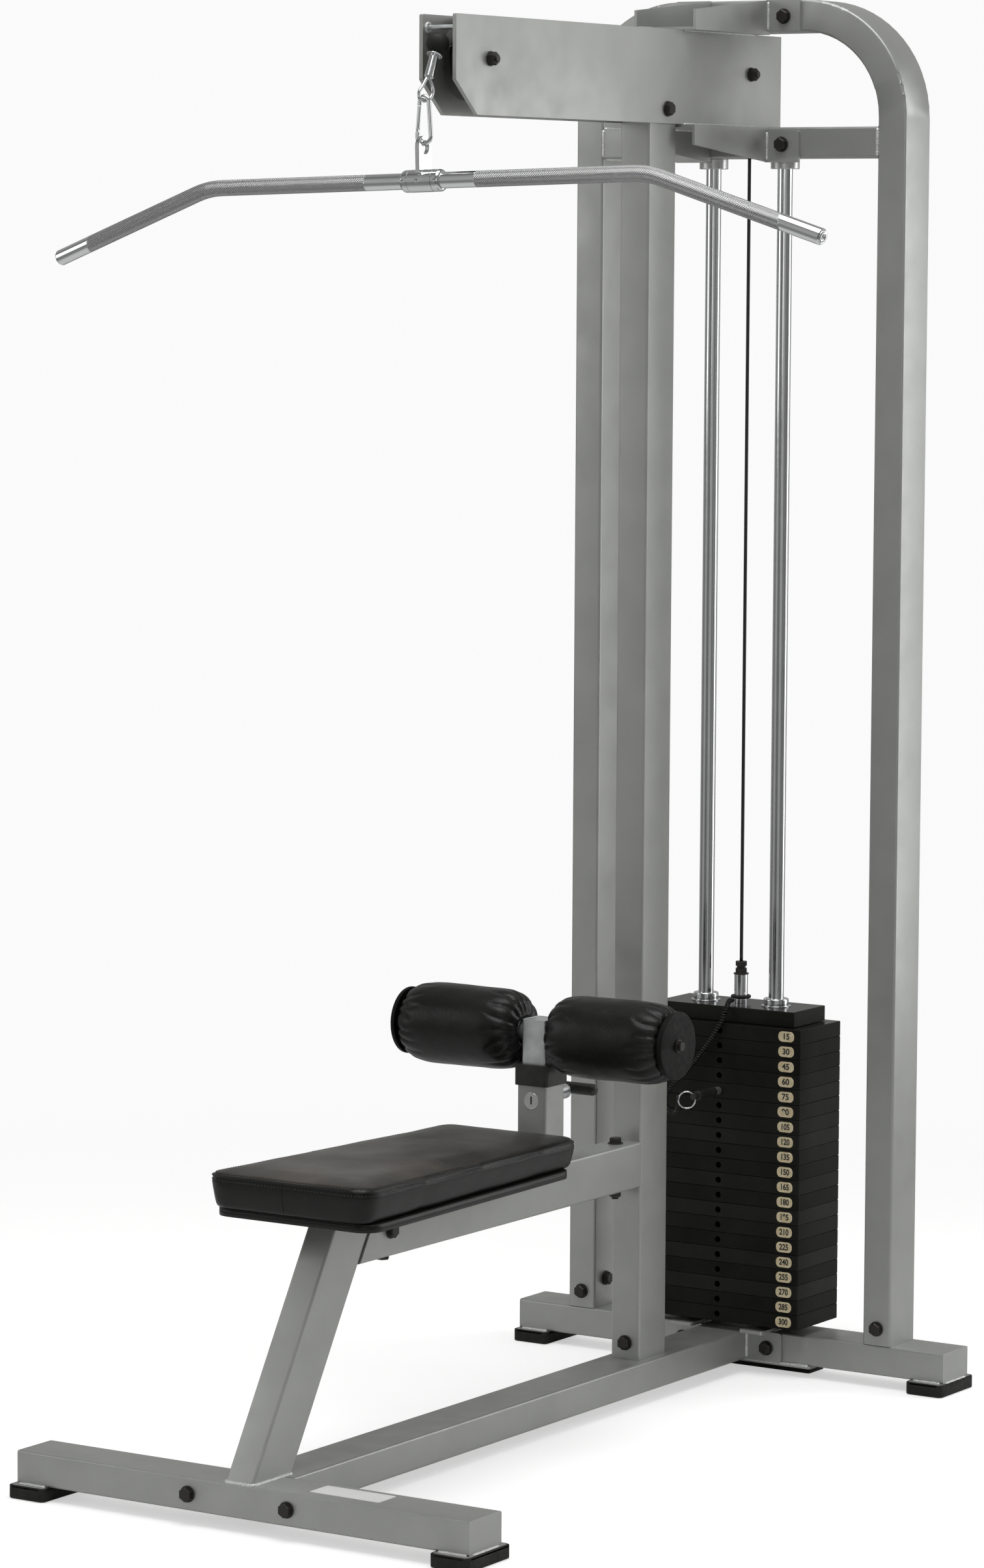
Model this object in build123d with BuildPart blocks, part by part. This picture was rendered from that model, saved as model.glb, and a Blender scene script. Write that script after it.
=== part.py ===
# Lat pulldown machine: base frame, seat with thigh pads, boom with pulleys, weight stack and bar.
# Millimetres. Z is up from the floor, X runs across the machine with +X its right side,
# and Y runs along it: the seat is at the front (-Y), the weight stack at the rear (+Y).
from build123d import *
import os
from math import sin, cos, radians, atan2, sqrt

os.makedirs("parts", exist_ok=True)

X, Y, Z = (1, 0, 0), (0, 1, 0), (0, 0, 1)
NY, NZ = (0, -1, 0), (0, 0, -1)

# ---------------------------------------------------------------- driving dimensions
WALL = 3.0                      # wall of the rectangular frame tube
TUBE_R = 4.0                    # outside corner radius of the tube
BOLT_R, BOLT_HOLE_R = 6.0, 6.3  # frame bolts and their clearance holes
BOLT_AF = 19.0                  # across flats of bolt heads and nuts
WASHER_R, WASHER_T = 12.5, 2.0
FLANGE_T = 6.0                  # bolting flanges and ears

FOOT_H = 16.0                   # rubber under the steel foot plates
PLATE_H = 5.0                   # steel foot plate
BASE_Z = FOOT_H + PLATE_H       # underside of the base tubes
BASE_H = 50.5                   # base tube height
BASE_D = 86.0                   # base tube width lying flat
BASE_TOP = BASE_Z + BASE_H
BASE_MID_Z = BASE_Z + BASE_H / 2
FRONT_Y = -756.0                # front face of the front cross tube
FRONT_HALF = 408.0
REAR_Y = 663.0                  # front face of the rear cross tube and of the hoop
REAR_HALF = 415.0

UPRIGHT_W, UPRIGHT_D, UPRIGHT_Y = 54.0, 84.0, 335.0
HOOP_X, HOOP_W, HOOP_D = 289.0, 52.0, 84.0     # rear hoop legs
HOOP_TOP = 2294.0
HOOP_R_OUT = 195.0
HOOP_MID_Y = REAR_Y + HOOP_D / 2
XBAR_Z0, XBAR_Z1 = 2035.5, 2086.0              # crossbar between the hoop legs

BOOM_Z0, BOOM_Z1 = 2086.0, 2237.0
BOOM_Y0, BOOM_Y1 = -239.0, 744.0
BOOM_IN, BOOM_T = 27.0, 6.5                     # inner face and thickness of the boom plates
BOOM_OUT = BOOM_IN + BOOM_T
BOOM_BOLT_Y, BOOM_BOLT_Z = 380.0, 2109.5

AXLE_Z = 2172.0
FRONT_AXLE_Y, REAR_AXLE_Y = -144.0, 645.0
SHEAVE_R, SHEAVE_PITCH, SHEAVE_W = 63.5, 56.0, 24.0
CABLE_R = 2.9
AXLE_R = 6.0

BEAM_W, BEAM_Z0, BEAM_Z1 = 54.0, 359.0, 434.0  # seat beam
BEAM_H = BEAM_Z1 - BEAM_Z0
BEAM_MID_Z = (BEAM_Z0 + BEAM_Z1) / 2
BEAM_BOLT_Y = 300.0                             # bolt at the upright

STACK_Y = 701.0                                 # guide rods and selector stem
ROD_X, ROD_R = 68.5, 12.7


# ---------------------------------------------------------------- helpers
def save(part, name):
    part.label = name
    export_step(part, "parts/" + name + ".step")


def group(solids):
    """Several separate solids as one node."""
    return Compound(children=list(solids))


def facing(pos, normal, xdir=None):
    return Plane(origin=pos, z_dir=normal, x_dir=xdir) if xdir else Plane(origin=pos, z_dir=normal)


def cylinder(pos, axis, radius, length):
    """Round bar, or drilling tool, from pos along axis."""
    with BuildPart() as bar:
        with BuildSketch(facing(pos, axis)):
            Circle(radius)
        extrude(amount=length)
    return bar.part


def bolt_bore(pos, axis, length):
    """Tool for a frame bolt's clearance hole."""
    return cylinder(pos, axis, BOLT_HOLE_R, length)


def ring(pos, axis, outer_r, inner_r, length):
    with BuildPart() as body:
        with BuildSketch(facing(pos, axis)):
            Circle(outer_r)
            Circle(inner_r, mode=Mode.SUBTRACT)
        extrude(amount=length)
    return body.part


def slab(bounds, radius, z0, height, grow=0.0):
    """Level plate over bounds (x0, x1, y0, y1), its length and width enlarged by grow."""
    x0, x1, y0, y1 = bounds
    with BuildPart() as plate:
        with BuildSketch(Plane.XY.offset(z0)):
            with Locations(((x0 + x1) / 2, (y0 + y1) / 2)):
                RectangleRounded(x1 - x0 + grow, y1 - y0 + grow, radius)
        extrude(amount=height)
    return plate.part


def rect_tube(plane, width, height, length, wall=WALL, radius=TUBE_R, closed=False):
    """Rectangular tube: width along the plane's x, height along its y, length along its normal."""
    inner = (width - 2 * wall, height - 2 * wall, max(radius - wall, 0.6))
    with BuildPart() as tube:
        with BuildSketch(plane):
            RectangleRounded(width, height, radius)
            if not closed:
                RectangleRounded(*inner, mode=Mode.SUBTRACT)
        extrude(amount=length)
        if closed:
            with BuildSketch(plane.offset(wall)):
                RectangleRounded(*inner)
            extrude(amount=length - 2 * wall, mode=Mode.SUBTRACT)
    return tube.part


def stub(plane, width, height, length, slack):
    """Square-cornered spigot that fits, with slack, inside a width x height frame tube."""
    with BuildPart() as spigot:
        with BuildSketch(plane):
            Rectangle(width - 2 * WALL - slack, height - 2 * WALL - slack)
            Rectangle(width - 2 * WALL - 8.0, height - 2 * WALL - 8.0, mode=Mode.SUBTRACT)
        extrude(amount=length)
    return spigot.part


def hex_bolt(pos, out, shank, radius=BOLT_R, flats=BOLT_AF, head=8.0, washer_r=WASHER_R):
    """Hex head with its washer outside pos, shank going in against out."""
    face = facing(pos, out)
    with BuildPart() as bolt:
        with BuildSketch(face):
            Circle(washer_r)
        extrude(amount=WASHER_T)
        with BuildSketch(face.offset(WASHER_T)):
            RegularPolygon(flats / 2, 6, major_radius=False)
        extrude(amount=head)
        head_top = bolt.faces().filter_by(face).sort_by(Axis(pos, out))[-1]
        chamfer(head_top.edges(), 1.2)
        with BuildSketch(face):
            Circle(radius)
        extrude(amount=-shank)
    return bolt.part


def hex_nut(pos, out, radius=BOLT_R, flats=BOLT_AF, washer_r=WASHER_R):
    """Washer and nut outside pos, clear of a bolt of the given radius."""
    face = facing(pos, out)
    with BuildPart() as nut:
        with BuildSketch(face):
            Circle(washer_r)
            Circle(radius + 0.05, mode=Mode.SUBTRACT)
        extrude(amount=WASHER_T)
        with BuildSketch(face.offset(WASHER_T)):
            RegularPolygon(flats / 2, 6, major_radius=False)
            Circle(radius + 0.05, mode=Mode.SUBTRACT)
        extrude(amount=10.0)
        nut_top = nut.faces().filter_by(face).sort_by(Axis(pos, out))[-1]
        chamfer(nut_top.outer_wire().edges(), 1.2)
    return nut.part


frame_bolts, frame_nuts = [], []


def through(pos, out, grip):
    """A bolt from pos through grip millimetres with a nut on the far side."""
    frame_bolts.append(hex_bolt(pos, out, grip + 16.0))
    far = tuple(p - o * grip for p, o in zip(pos, out))
    frame_nuts.append(hex_nut(far, tuple(-o for o in out)))


# ---------------------------------------------------------------- base
FRONT_FLANGE_BOLT_X, REAR_FLANGE_BOLT_X = 89.5, 82.0    # each side of the rail
FRONT_FLANGE_X, FRONT_FLANGE_W, FRONT_FLANGE_H = 80.0, 74.0, 44.0
REAR_FLANGE_X, REAR_FLANGE_W = 76.5, 67.0
REAR_FLANGE_BOLT_DROP = 2.0                             # below the middle of the tube
REAR_FLANGE_BOLT_Z = BASE_MID_Z - REAR_FLANGE_BOLT_DROP
STUB_H = 70.0
HOOP_BOLT_Z = BASE_TOP + 28                             # bolt through each hoop foot
HOOP_SIDE_BOLT_Y, HOOP_SIDE_BOLT_Z = REAR_Y + 36, BASE_TOP + 48
UPRIGHT_BOLT_Z = BASE_TOP + 27
FOOT_LIP = 11.5                 # foot plate beyond the cross tube, front and back

# x0, x1, y0, y1 of the foot plates
FRONT_FEET = [(x0, x1, FRONT_Y - FOOT_LIP, FRONT_Y + BASE_D + FOOT_LIP)
              for x0, x1 in ((-412.5, -351.5), (351.5, 412.5))]
REAR_FEET = [(x0, x1, REAR_Y - FOOT_LIP, REAR_Y + BASE_D + FOOT_LIP)
             for x0, x1 in ((-416.5, -355.0), (355.0, 416.5))]
MID_PLATE = (-164.0, 164.0, REAR_Y - 2, REAR_Y + BASE_D)      # under the middle of the rear tube
MID_PAD = (-142.0, 142.0, REAR_Y + 35, REAR_Y + BASE_D)       # its plain rubber block


def foot_plate(bounds):
    return slab(bounds, 6, FOOT_H, PLATE_H)


def boot(bounds):
    """Rubber boot with a pocket around the lower part of a foot plate."""
    with BuildPart() as rubber:
        add(slab(bounds, 9, 0, BASE_Z - 1, grow=7))
        fillet(rubber.edges().group_by(Axis.Z)[0], 2.5)
        add(slab(bounds, 6, FOOT_H, 4, grow=0.2), mode=Mode.SUBTRACT)
    return rubber.part


def cross_tube(half_length, front_y):
    start = Plane(origin=(-half_length, front_y + BASE_D / 2, BASE_MID_Z), z_dir=X, x_dir=Y)
    return rect_tube(start, BASE_D, BASE_H, 2 * half_length, closed=True)


def hoop_foot_bores(side):
    """Tools for the two bolts at the foot of a hoop leg, one along Y and one from inside."""
    return (bolt_bore((side * HOOP_X, REAR_Y - 1, HOOP_BOLT_Z), Y, HOOP_D + 2),
            bolt_bore((side * (HOOP_X - 40), HOOP_SIDE_BOLT_Y, HOOP_SIDE_BOLT_Z),
                      (side, 0, 0), 40))


with BuildPart() as front_crosstube:
    add(cross_tube(FRONT_HALF, FRONT_Y))
    for foot in FRONT_FEET:
        add(foot_plate(foot))
    for side in (-1, 1):
        add(bolt_bore((side * FRONT_FLANGE_BOLT_X, FRONT_Y - 1, BASE_MID_Z), Y, BASE_D + 2),
            mode=Mode.SUBTRACT)
save(front_crosstube.part, "front_crosstube")

with BuildPart() as rear_crosstube:
    add(cross_tube(REAR_HALF, REAR_Y))
    for foot in REAR_FEET + [MID_PLATE]:
        add(foot_plate(foot))
    # the hoop legs slide over the stubs
    for side in (-1, 1):
        add(stub(Plane((side * HOOP_X, HOOP_MID_Y, BASE_TOP)), HOOP_W, HOOP_D, STUB_H, 1.0))
        add(bolt_bore((side * REAR_FLANGE_BOLT_X, REAR_Y - 1, REAR_FLANGE_BOLT_Z), Y, BASE_D + 2),
            mode=Mode.SUBTRACT)
        for bore in hoop_foot_bores(side):
            add(bore, mode=Mode.SUBTRACT)
save(rear_crosstube.part, "rear_crosstube")

save(group([boot(foot) for foot in FRONT_FEET + REAR_FEET] + [slab(MID_PAD, 3, 0, FOOT_H)]),
     "rubber_feet")

RAIL_Y0, RAIL_Y1 = FRONT_Y + BASE_D, REAR_Y
with BuildPart() as base_rail:
    add(rect_tube(Plane(origin=(0, RAIL_Y0, BASE_MID_Z), z_dir=Y, x_dir=X),
                  BASE_D, BASE_H, RAIL_Y1 - RAIL_Y0))
    # bolting flanges at both ends; the sketch planes' second axis points down
    for side in (-1, 1):
        with BuildSketch(facing((side * REAR_FLANGE_X, RAIL_Y1 - FLANGE_T, BASE_MID_Z), Y, X)):
            RectangleRounded(REAR_FLANGE_W, BASE_H, 5)
            with Locations((side * (REAR_FLANGE_BOLT_X - REAR_FLANGE_X), REAR_FLANGE_BOLT_DROP)):
                Circle(BOLT_HOLE_R, mode=Mode.SUBTRACT)
        extrude(amount=FLANGE_T)
        with BuildSketch(facing((side * FRONT_FLANGE_X, RAIL_Y0, BASE_MID_Z), Y, X)):
            RectangleRounded(FRONT_FLANGE_W, FRONT_FLANGE_H, 5)
            with Locations((side * (FRONT_FLANGE_BOLT_X - FRONT_FLANGE_X), 0)):
                Circle(BOLT_HOLE_R, mode=Mode.SUBTRACT)
        extrude(amount=FLANGE_T)
    # stub inside the front upright
    add(stub(Plane((0, UPRIGHT_Y + UPRIGHT_D / 2, BASE_TOP)), UPRIGHT_W, UPRIGHT_D, STUB_H, 1.0))
    add(bolt_bore((0, UPRIGHT_Y - 1, UPRIGHT_BOLT_Z), Y, UPRIGHT_D + 2), mode=Mode.SUBTRACT)
save(base_rail.part, "base_rail")

for side in (-1, 1):
    through((side * FRONT_FLANGE_BOLT_X, FRONT_Y, BASE_MID_Z), NY, BASE_D + FLANGE_T)
    through((side * REAR_FLANGE_BOLT_X, REAR_Y - FLANGE_T, REAR_FLANGE_BOLT_Z), NY,
            BASE_D + FLANGE_T)
    through((side * HOOP_X, REAR_Y, HOOP_BOLT_Z), NY, HOOP_D)
    frame_bolts.append(hex_bolt((side * (HOOP_X - HOOP_W / 2), HOOP_SIDE_BOLT_Y, HOOP_SIDE_BOLT_Z),
                                (-side, 0, 0), 14.0))
through((0, UPRIGHT_Y, UPRIGHT_BOLT_Z), NY, UPRIGHT_D)

# ---------------------------------------------------------------- front upright
CABLE_GAP = 9.0                 # from the upright's top to the cable above it
UPRIGHT_TOP = AXLE_Z + SHEAVE_PITCH - CABLE_R - CABLE_GAP
with BuildPart() as front_upright:
    add(rect_tube(Plane(origin=(0, UPRIGHT_Y + UPRIGHT_D / 2, BASE_TOP), z_dir=Z, x_dir=X),
                  UPRIGHT_W, UPRIGHT_D, UPRIGHT_TOP - BASE_TOP))
    # end cap, a little below the rim
    with BuildSketch(Plane.XY.offset(UPRIGHT_TOP - 6)):
        with Locations((0, UPRIGHT_Y + UPRIGHT_D / 2)):
            Rectangle(UPRIGHT_W - 2, UPRIGHT_D - 2)
    extrude(amount=4)
    # stub that carries the back end of the seat beam
    add(stub(facing((0, UPRIGHT_Y, BEAM_MID_Z), NY, X), BEAM_W, BEAM_H, 66, 1.4))
    add(bolt_bore((0, UPRIGHT_Y - 1, UPRIGHT_BOLT_Z), Y, UPRIGHT_D + 2), mode=Mode.SUBTRACT)
    add(bolt_bore((0, BEAM_BOLT_Y, BEAM_Z0), Z, 80), mode=Mode.SUBTRACT)
    add(bolt_bore((-40, BOOM_BOLT_Y, BOOM_BOLT_Z), X, 80), mode=Mode.SUBTRACT)
save(front_upright.part, "front_upright")

# ---------------------------------------------------------------- hoop and crossbar
HOOP_MID_Z = HOOP_TOP - HOOP_W / 2          # centre line of the hoop's top
HOOP_BEND_R = HOOP_R_OUT - HOOP_W / 2       # bend radius of the centre line
HOOP_BEND_X = HOOP_X - HOOP_BEND_R
HOOP_BEND_Z = HOOP_MID_Z - HOOP_BEND_R
UPPER_BOLT_X, UPPER_BOLT_Z = 88.0, 2267.0   # boom bracket bolts through the hoop
LOWER_BOLT_X, LOWER_BOLT_Z = 86.0, 2058.0   # and through the crossbar


def bend_points(side, angles):
    """Points on the centre line of one upper bend, at angles in degrees."""
    return [(side * HOOP_BEND_X + HOOP_BEND_R * cos(radians(angle)), HOOP_MID_Y,
             HOOP_BEND_Z + HOOP_BEND_R * sin(radians(angle))) for angle in angles]


def hoop_swept(width, depth, radius):
    """Solid bar of the given section bent to the hoop's centre line."""
    with BuildPart() as bar:
        with BuildLine() as path:
            Line((-HOOP_X, HOOP_MID_Y, BASE_TOP), (-HOOP_X, HOOP_MID_Y, HOOP_BEND_Z))
            ThreePointArc(*bend_points(-1, (180, 135, 90)))
            Line((-HOOP_BEND_X, HOOP_MID_Y, HOOP_MID_Z), (HOOP_BEND_X, HOOP_MID_Y, HOOP_MID_Z))
            ThreePointArc(*bend_points(1, (90, 45, 0)))
            Line((HOOP_X, HOOP_MID_Y, HOOP_BEND_Z), (HOOP_X, HOOP_MID_Y, BASE_TOP))
        with BuildSketch(Plane(origin=(-HOOP_X, HOOP_MID_Y, BASE_TOP), z_dir=Z, x_dir=X)):
            RectangleRounded(width, depth, radius)
        sweep(path=path.wire())
    return bar.part


with BuildPart() as rear_hoop:
    add(hoop_swept(HOOP_W, HOOP_D, TUBE_R))
    add(hoop_swept(HOOP_W - 2 * WALL, HOOP_D - 2 * WALL, 1.5), mode=Mode.SUBTRACT)
    for side in (-1, 1):
        for bore in hoop_foot_bores(side):
            add(bore, mode=Mode.SUBTRACT)
        add(bolt_bore((side * UPPER_BOLT_X, REAR_Y - 1, UPPER_BOLT_Z), Y, HOOP_D + 2),
            mode=Mode.SUBTRACT)
save(rear_hoop.part, "rear_hoop")

with BuildPart() as hoop_crossbar:
    add(rect_tube(Plane(origin=(-HOOP_X + HOOP_W / 2, HOOP_MID_Y, (XBAR_Z0 + XBAR_Z1) / 2),
                        z_dir=X, x_dir=Y),
                  HOOP_D, XBAR_Z1 - XBAR_Z0, 2 * HOOP_X - HOOP_W))
    for side in (-1, 1):
        add(bolt_bore((side * LOWER_BOLT_X, REAR_Y - 1, LOWER_BOLT_Z), Y, HOOP_D + 2),
            mode=Mode.SUBTRACT)
        # the guide rod enters the lower wall
        add(cylinder((side * ROD_X, STACK_Y, XBAR_Z0 - 1), Z, ROD_R + 0.05, 20),
            mode=Mode.SUBTRACT)
    # cable slot, long front to back, through both walls
    with BuildSketch(facing((0, STACK_Y, XBAR_Z0 - 1), Z, Y)):
        SlotOverall(50, 34)
    extrude(amount=70, mode=Mode.SUBTRACT)
save(hoop_crossbar.part, "hoop_crossbar")

# ---------------------------------------------------------------- boom plates and brackets
NOSE_LENGTH, NOSE_RISE = 60.0, 52.0         # slope under the boom's front end
KEEPER_Y, KEEPER_Z, KEEPER_R = -225.0, 2217.0, 4.0
BRACKET_Y0, BRACKET_T = 425.0, 5.0
GUSSET_X = 53.0                             # inner face of a side gusset
WEB_W = 2 * (GUSSET_X + BRACKET_T)
GUSSET_LOW, GUSSET_FRONT_H, GUSSET_REAR_H = 4.0, 33.0, 57.0    # measured from the boom's edge
EAR_X, EAR_W, EAR_H, EAR_RISE = 85.5, 65.0, 52.0, 31.5


def boom_plate(side):
    # the sketch's second axis points up for side = 1 and down for side = -1
    with BuildPart() as plate:
        with BuildSketch(facing((side * BOOM_IN, 0, 0), (side, 0, 0), Y)):
            with BuildLine():
                Polyline((BOOM_Y0, side * BOOM_Z1), (BOOM_Y1, side * BOOM_Z1),
                         (BOOM_Y1, side * BOOM_Z0), (BOOM_Y0 + NOSE_LENGTH, side * BOOM_Z0),
                         (BOOM_Y0, side * (BOOM_Z0 + NOSE_RISE)), close=True)
            make_face()
            for y, z, radius in ((FRONT_AXLE_Y, AXLE_Z, AXLE_R + 0.2),
                                 (REAR_AXLE_Y, AXLE_Z, AXLE_R + 0.2),
                                 (BOOM_BOLT_Y, BOOM_BOLT_Z, BOLT_HOLE_R)):
                with Locations((y, side * z)):
                    Circle(radius, mode=Mode.SUBTRACT)
        extrude(amount=BOOM_T)
        # the two corners of the front edge
        fillet(plate.edges().filter_by(Axis.X).group_by(Axis.Y)[0], 3)
    return plate.part


def bracket(upper):
    """Channel over (or under) the boom with bolting ears against the hoop (or crossbar)."""
    edge_z = BOOM_Z1 if upper else BOOM_Z0
    away = 1 if upper else -1               # vertical direction away from the boom
    bolt_x = UPPER_BOLT_X if upper else LOWER_BOLT_X
    bolt_z = UPPER_BOLT_Z if upper else LOWER_BOLT_Z
    ear_z = edge_z + away * EAR_RISE
    low, front_top, rear_top = (edge_z + away * rise
                                for rise in (GUSSET_LOW, GUSSET_FRONT_H, GUSSET_REAR_H))
    with BuildPart() as channel:
        # level web along the boom's edge; the lower one is cut out below the rear pulley
        with BuildSketch(Plane.XY.offset(edge_z if upper else edge_z - BRACKET_T)):
            with Locations((0, (BRACKET_Y0 + REAR_Y) / 2)):
                Rectangle(WEB_W, REAR_Y - BRACKET_Y0)
            if not upper:
                with Locations((0, 640)):
                    Rectangle(40, 60, mode=Mode.SUBTRACT)
        extrude(amount=BRACKET_T)
        for side in (-1, 1):
            # gusset, deeper towards the rear
            with BuildSketch(facing((side * GUSSET_X, 0, 0), (side, 0, 0), Y)):
                with BuildLine():
                    Polyline((BRACKET_Y0, side * low), (BRACKET_Y0, side * front_top),
                             (REAR_Y, side * rear_top), (REAR_Y, side * low), close=True)
                make_face()
            extrude(amount=BRACKET_T)
            # ear; its sketch's second axis points down
            with BuildSketch(facing((side * EAR_X, REAR_Y - FLANGE_T, ear_z), Y, X)):
                RectangleRounded(EAR_W, EAR_H, 3)
                with Locations((side * (bolt_x - EAR_X), ear_z - bolt_z)):
                    Circle(BOLT_HOLE_R, mode=Mode.SUBTRACT)
            extrude(amount=FLANGE_T)
    return channel.part


save(boom_plate(1), "right_boom_plate")
save(boom_plate(-1), "left_boom_plate")
save(cylinder((-BOOM_IN, KEEPER_Y, KEEPER_Z), X, KEEPER_R, 2 * BOOM_IN), "keeper_rod")
save(bracket(True), "upper_boom_bracket")
save(bracket(False), "lower_boom_bracket")

for side in (-1, 1):
    for bolt_x, bolt_z in ((UPPER_BOLT_X, UPPER_BOLT_Z), (LOWER_BOLT_X, LOWER_BOLT_Z)):
        through((side * bolt_x, REAR_Y - FLANGE_T, bolt_z), NY, HOOP_D + FLANGE_T)
through((BOOM_OUT, BOOM_BOLT_Y, BOOM_BOLT_Z), X, 2 * BOOM_OUT)

# ---------------------------------------------------------------- seat leg and beam
LEG_W, LEG_D = 50.0, 86.0
LEG_ANGLE = radians(31.0)                   # lean back from vertical
LEG_FRONT_Y = -751.0                        # front face where it meets the cross tube's top
LEG_FOOT = (0, LEG_FRONT_Y + LEG_D / cos(LEG_ANGLE) / 2, BASE_TOP)   # on the centre line
LEG_DIR = (0, sin(LEG_ANGLE), cos(LEG_ANGLE))
BEAM_Y0 = -476.0                            # lower front corner of the seat beam
BEAM_CUT_SLOPE = 0.6009                     # y per z of the front cut, along the leg's back
UNDER_BOLT_Y = -376.0                       # bolt from below into the leg's stub
SIDE_BOLT_Y, SIDE_BOLT_Z = -394.0, 399.0
POST_HALF, POST_Y0, POST_Y1, POST_TOP = 27.0, 44.0, 100.0, 590.0
POST_MID_Y = (POST_Y0 + POST_Y1) / 2
ADJ_HALF, ADJ_Y0, ADJ_Y1 = 22.0, 49.0, 95.0     # tube sliding in the post
ADJ_Z0, ADJ_Z1 = 364.5, 667.0
ADJ_MID_Y = (ADJ_Y0 + ADJ_Y1) / 2
ADJ_PITCH, ADJ_STEPS = 25.0, 5
POP_Z = 541.0                                   # pull pin

with BuildPart() as seat_leg:
    with BuildSketch(Plane(origin=LEG_FOOT, z_dir=LEG_DIR, x_dir=X).offset(-60)):
        RectangleRounded(LEG_W, LEG_D, TUBE_R)
        RectangleRounded(LEG_W - 2 * WALL, LEG_D - 2 * WALL, 1.2, mode=Mode.SUBTRACT)
    extrude(amount=560)
    # trimmed flat on the cross tube below and under the seat above
    with Locations((0, -700, BASE_TOP - 100)):
        Box(200, 400, 200, mode=Mode.SUBTRACT)
    with Locations((0, -400, BEAM_Z1 + 100)):
        Box(200, 600, 200, mode=Mode.SUBTRACT)
    # closing plate at the top
    with BuildSketch(Plane(origin=(0, -500, BEAM_Z1 - 4), z_dir=Z)):
        with Locations((0, -1.0)):
            Rectangle(LEG_W - 4, 90)
    extrude(amount=4)
    # stub into the seat beam
    add(stub(facing((0, -480, BEAM_MID_Z), Y, X), BEAM_W, BEAM_H, 140, 1.4))
    add(bolt_bore((0, UNDER_BOLT_Y, BEAM_Z0 - 5), Z, 45), mode=Mode.SUBTRACT)
    add(bolt_bore((-60, SIDE_BOLT_Y, SIDE_BOLT_Z), X, 120), mode=Mode.SUBTRACT)
save(seat_leg.part, "seat_leg")


def beam_cut_point(z):
    """Point (y, z) on the beam's sloping front cut."""
    return BEAM_Y0 + (z - BEAM_Z0) * BEAM_CUT_SLOPE, z


with BuildPart() as seat_beam:
    add(rect_tube(Plane(origin=(0, BEAM_Y0 - 10, BEAM_MID_Z), z_dir=Y, x_dir=X),
                  BEAM_W, BEAM_H, UPRIGHT_Y - BEAM_Y0 + 10))
    # front end cut along the back of the leg
    with BuildSketch(facing((-60, 0, 0), X, Y)):
        with BuildLine():
            Polyline((BEAM_Y0 - 60, BEAM_Z0 - 20), beam_cut_point(BEAM_Z0 - 20),
                     beam_cut_point(BEAM_Z1 + 20), (BEAM_Y0 - 60, BEAM_Z1 + 20), close=True)
        make_face()
    extrude(amount=120, mode=Mode.SUBTRACT)
    # window for the sliding tube below the post
    with BuildSketch(Plane.XY.offset(BEAM_Z1 - 6)):
        with Locations((0, ADJ_MID_Y)):
            Rectangle(2 * ADJ_HALF + 1.6, ADJ_Y1 - ADJ_Y0 + 2.0)
    extrude(amount=12, mode=Mode.SUBTRACT)
    # the rear bolt passes both walls, the front one only the lower wall
    add(bolt_bore((0, BEAM_BOLT_Y, BEAM_Z0 - 5), Z, 90), mode=Mode.SUBTRACT)
    add(bolt_bore((0, UNDER_BOLT_Y, BEAM_Z0 - 5), Z, 30), mode=Mode.SUBTRACT)
    add(bolt_bore((-60, SIDE_BOLT_Y, SIDE_BOLT_Z), X, 120), mode=Mode.SUBTRACT)
save(seat_beam.part, "seat_beam")

through((0, BEAM_BOLT_Y, BEAM_Z1), Z, BEAM_H)
through((BEAM_W / 2, SIDE_BOLT_Y, SIDE_BOLT_Z), X, BEAM_W)
frame_bolts.append(hex_bolt((0, UNDER_BOLT_Y, BEAM_Z0), NZ, 24))

# ---------------------------------------------------------------- thigh pad post
COLLAR_Z0, COLLAR_Z1 = 562.0, 596.0
with BuildPart() as pad_post:
    add(rect_tube(Plane(origin=(0, POST_MID_Y, BEAM_Z1), z_dir=Z, x_dir=X),
                  2 * POST_HALF, POST_Y1 - POST_Y0, POST_TOP - BEAM_Z1, wall=3.5))
    add(cylinder((0, POST_Y1 - 10, POP_Z), Y, 7.0, 20), mode=Mode.SUBTRACT)
save(pad_post.part, "pad_post")

with BuildPart() as post_collar:
    with BuildSketch(Plane.XY.offset(COLLAR_Z0)):
        with Locations((0, POST_MID_Y)):
            RectangleRounded(2 * POST_HALF + 8, POST_Y1 - POST_Y0 + 8, 6)
            RectangleRounded(2 * ADJ_HALF + 0.6, ADJ_Y1 - ADJ_Y0 + 0.6, 2.5, mode=Mode.SUBTRACT)
    extrude(amount=COLLAR_Z1 - COLLAR_Z0)
    fillet(post_collar.edges().group_by(Axis.Z)[-1], 1.2)
    # pocket for the end of the post
    with BuildSketch(Plane.XY.offset(COLLAR_Z0)):
        with Locations((0, POST_MID_Y)):
            RectangleRounded(2 * POST_HALF + 0.3, POST_Y1 - POST_Y0 + 0.3, 4)
    extrude(amount=POST_TOP - COLLAR_Z0 + 0.2, mode=Mode.SUBTRACT)
save(post_collar.part, "post_collar")

# ---------------------------------------------------------------- seat
SEAT_Y0, SEAT_Y1 = -638.0, -8.0                 # cushion length
SEAT_HALF_F, SEAT_HALF_B = 150.0, 128.0         # half widths at the front and the back
SEAT_Z0, SEAT_TOP_F, SEAT_TOP_B = 451.0, 510.5, 502.0
SEAT_BOARD, SEAT_PACK = 12.0, 5.0               # board, and packing between it and the beam


def taper(half_front, half_back, y0, y1):
    """Long outline, wider at the front than at the back."""
    return Polygon((-half_front, y0), (half_front, y0), (half_back, y1), (-half_back, y1),
                   align=None)


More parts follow.
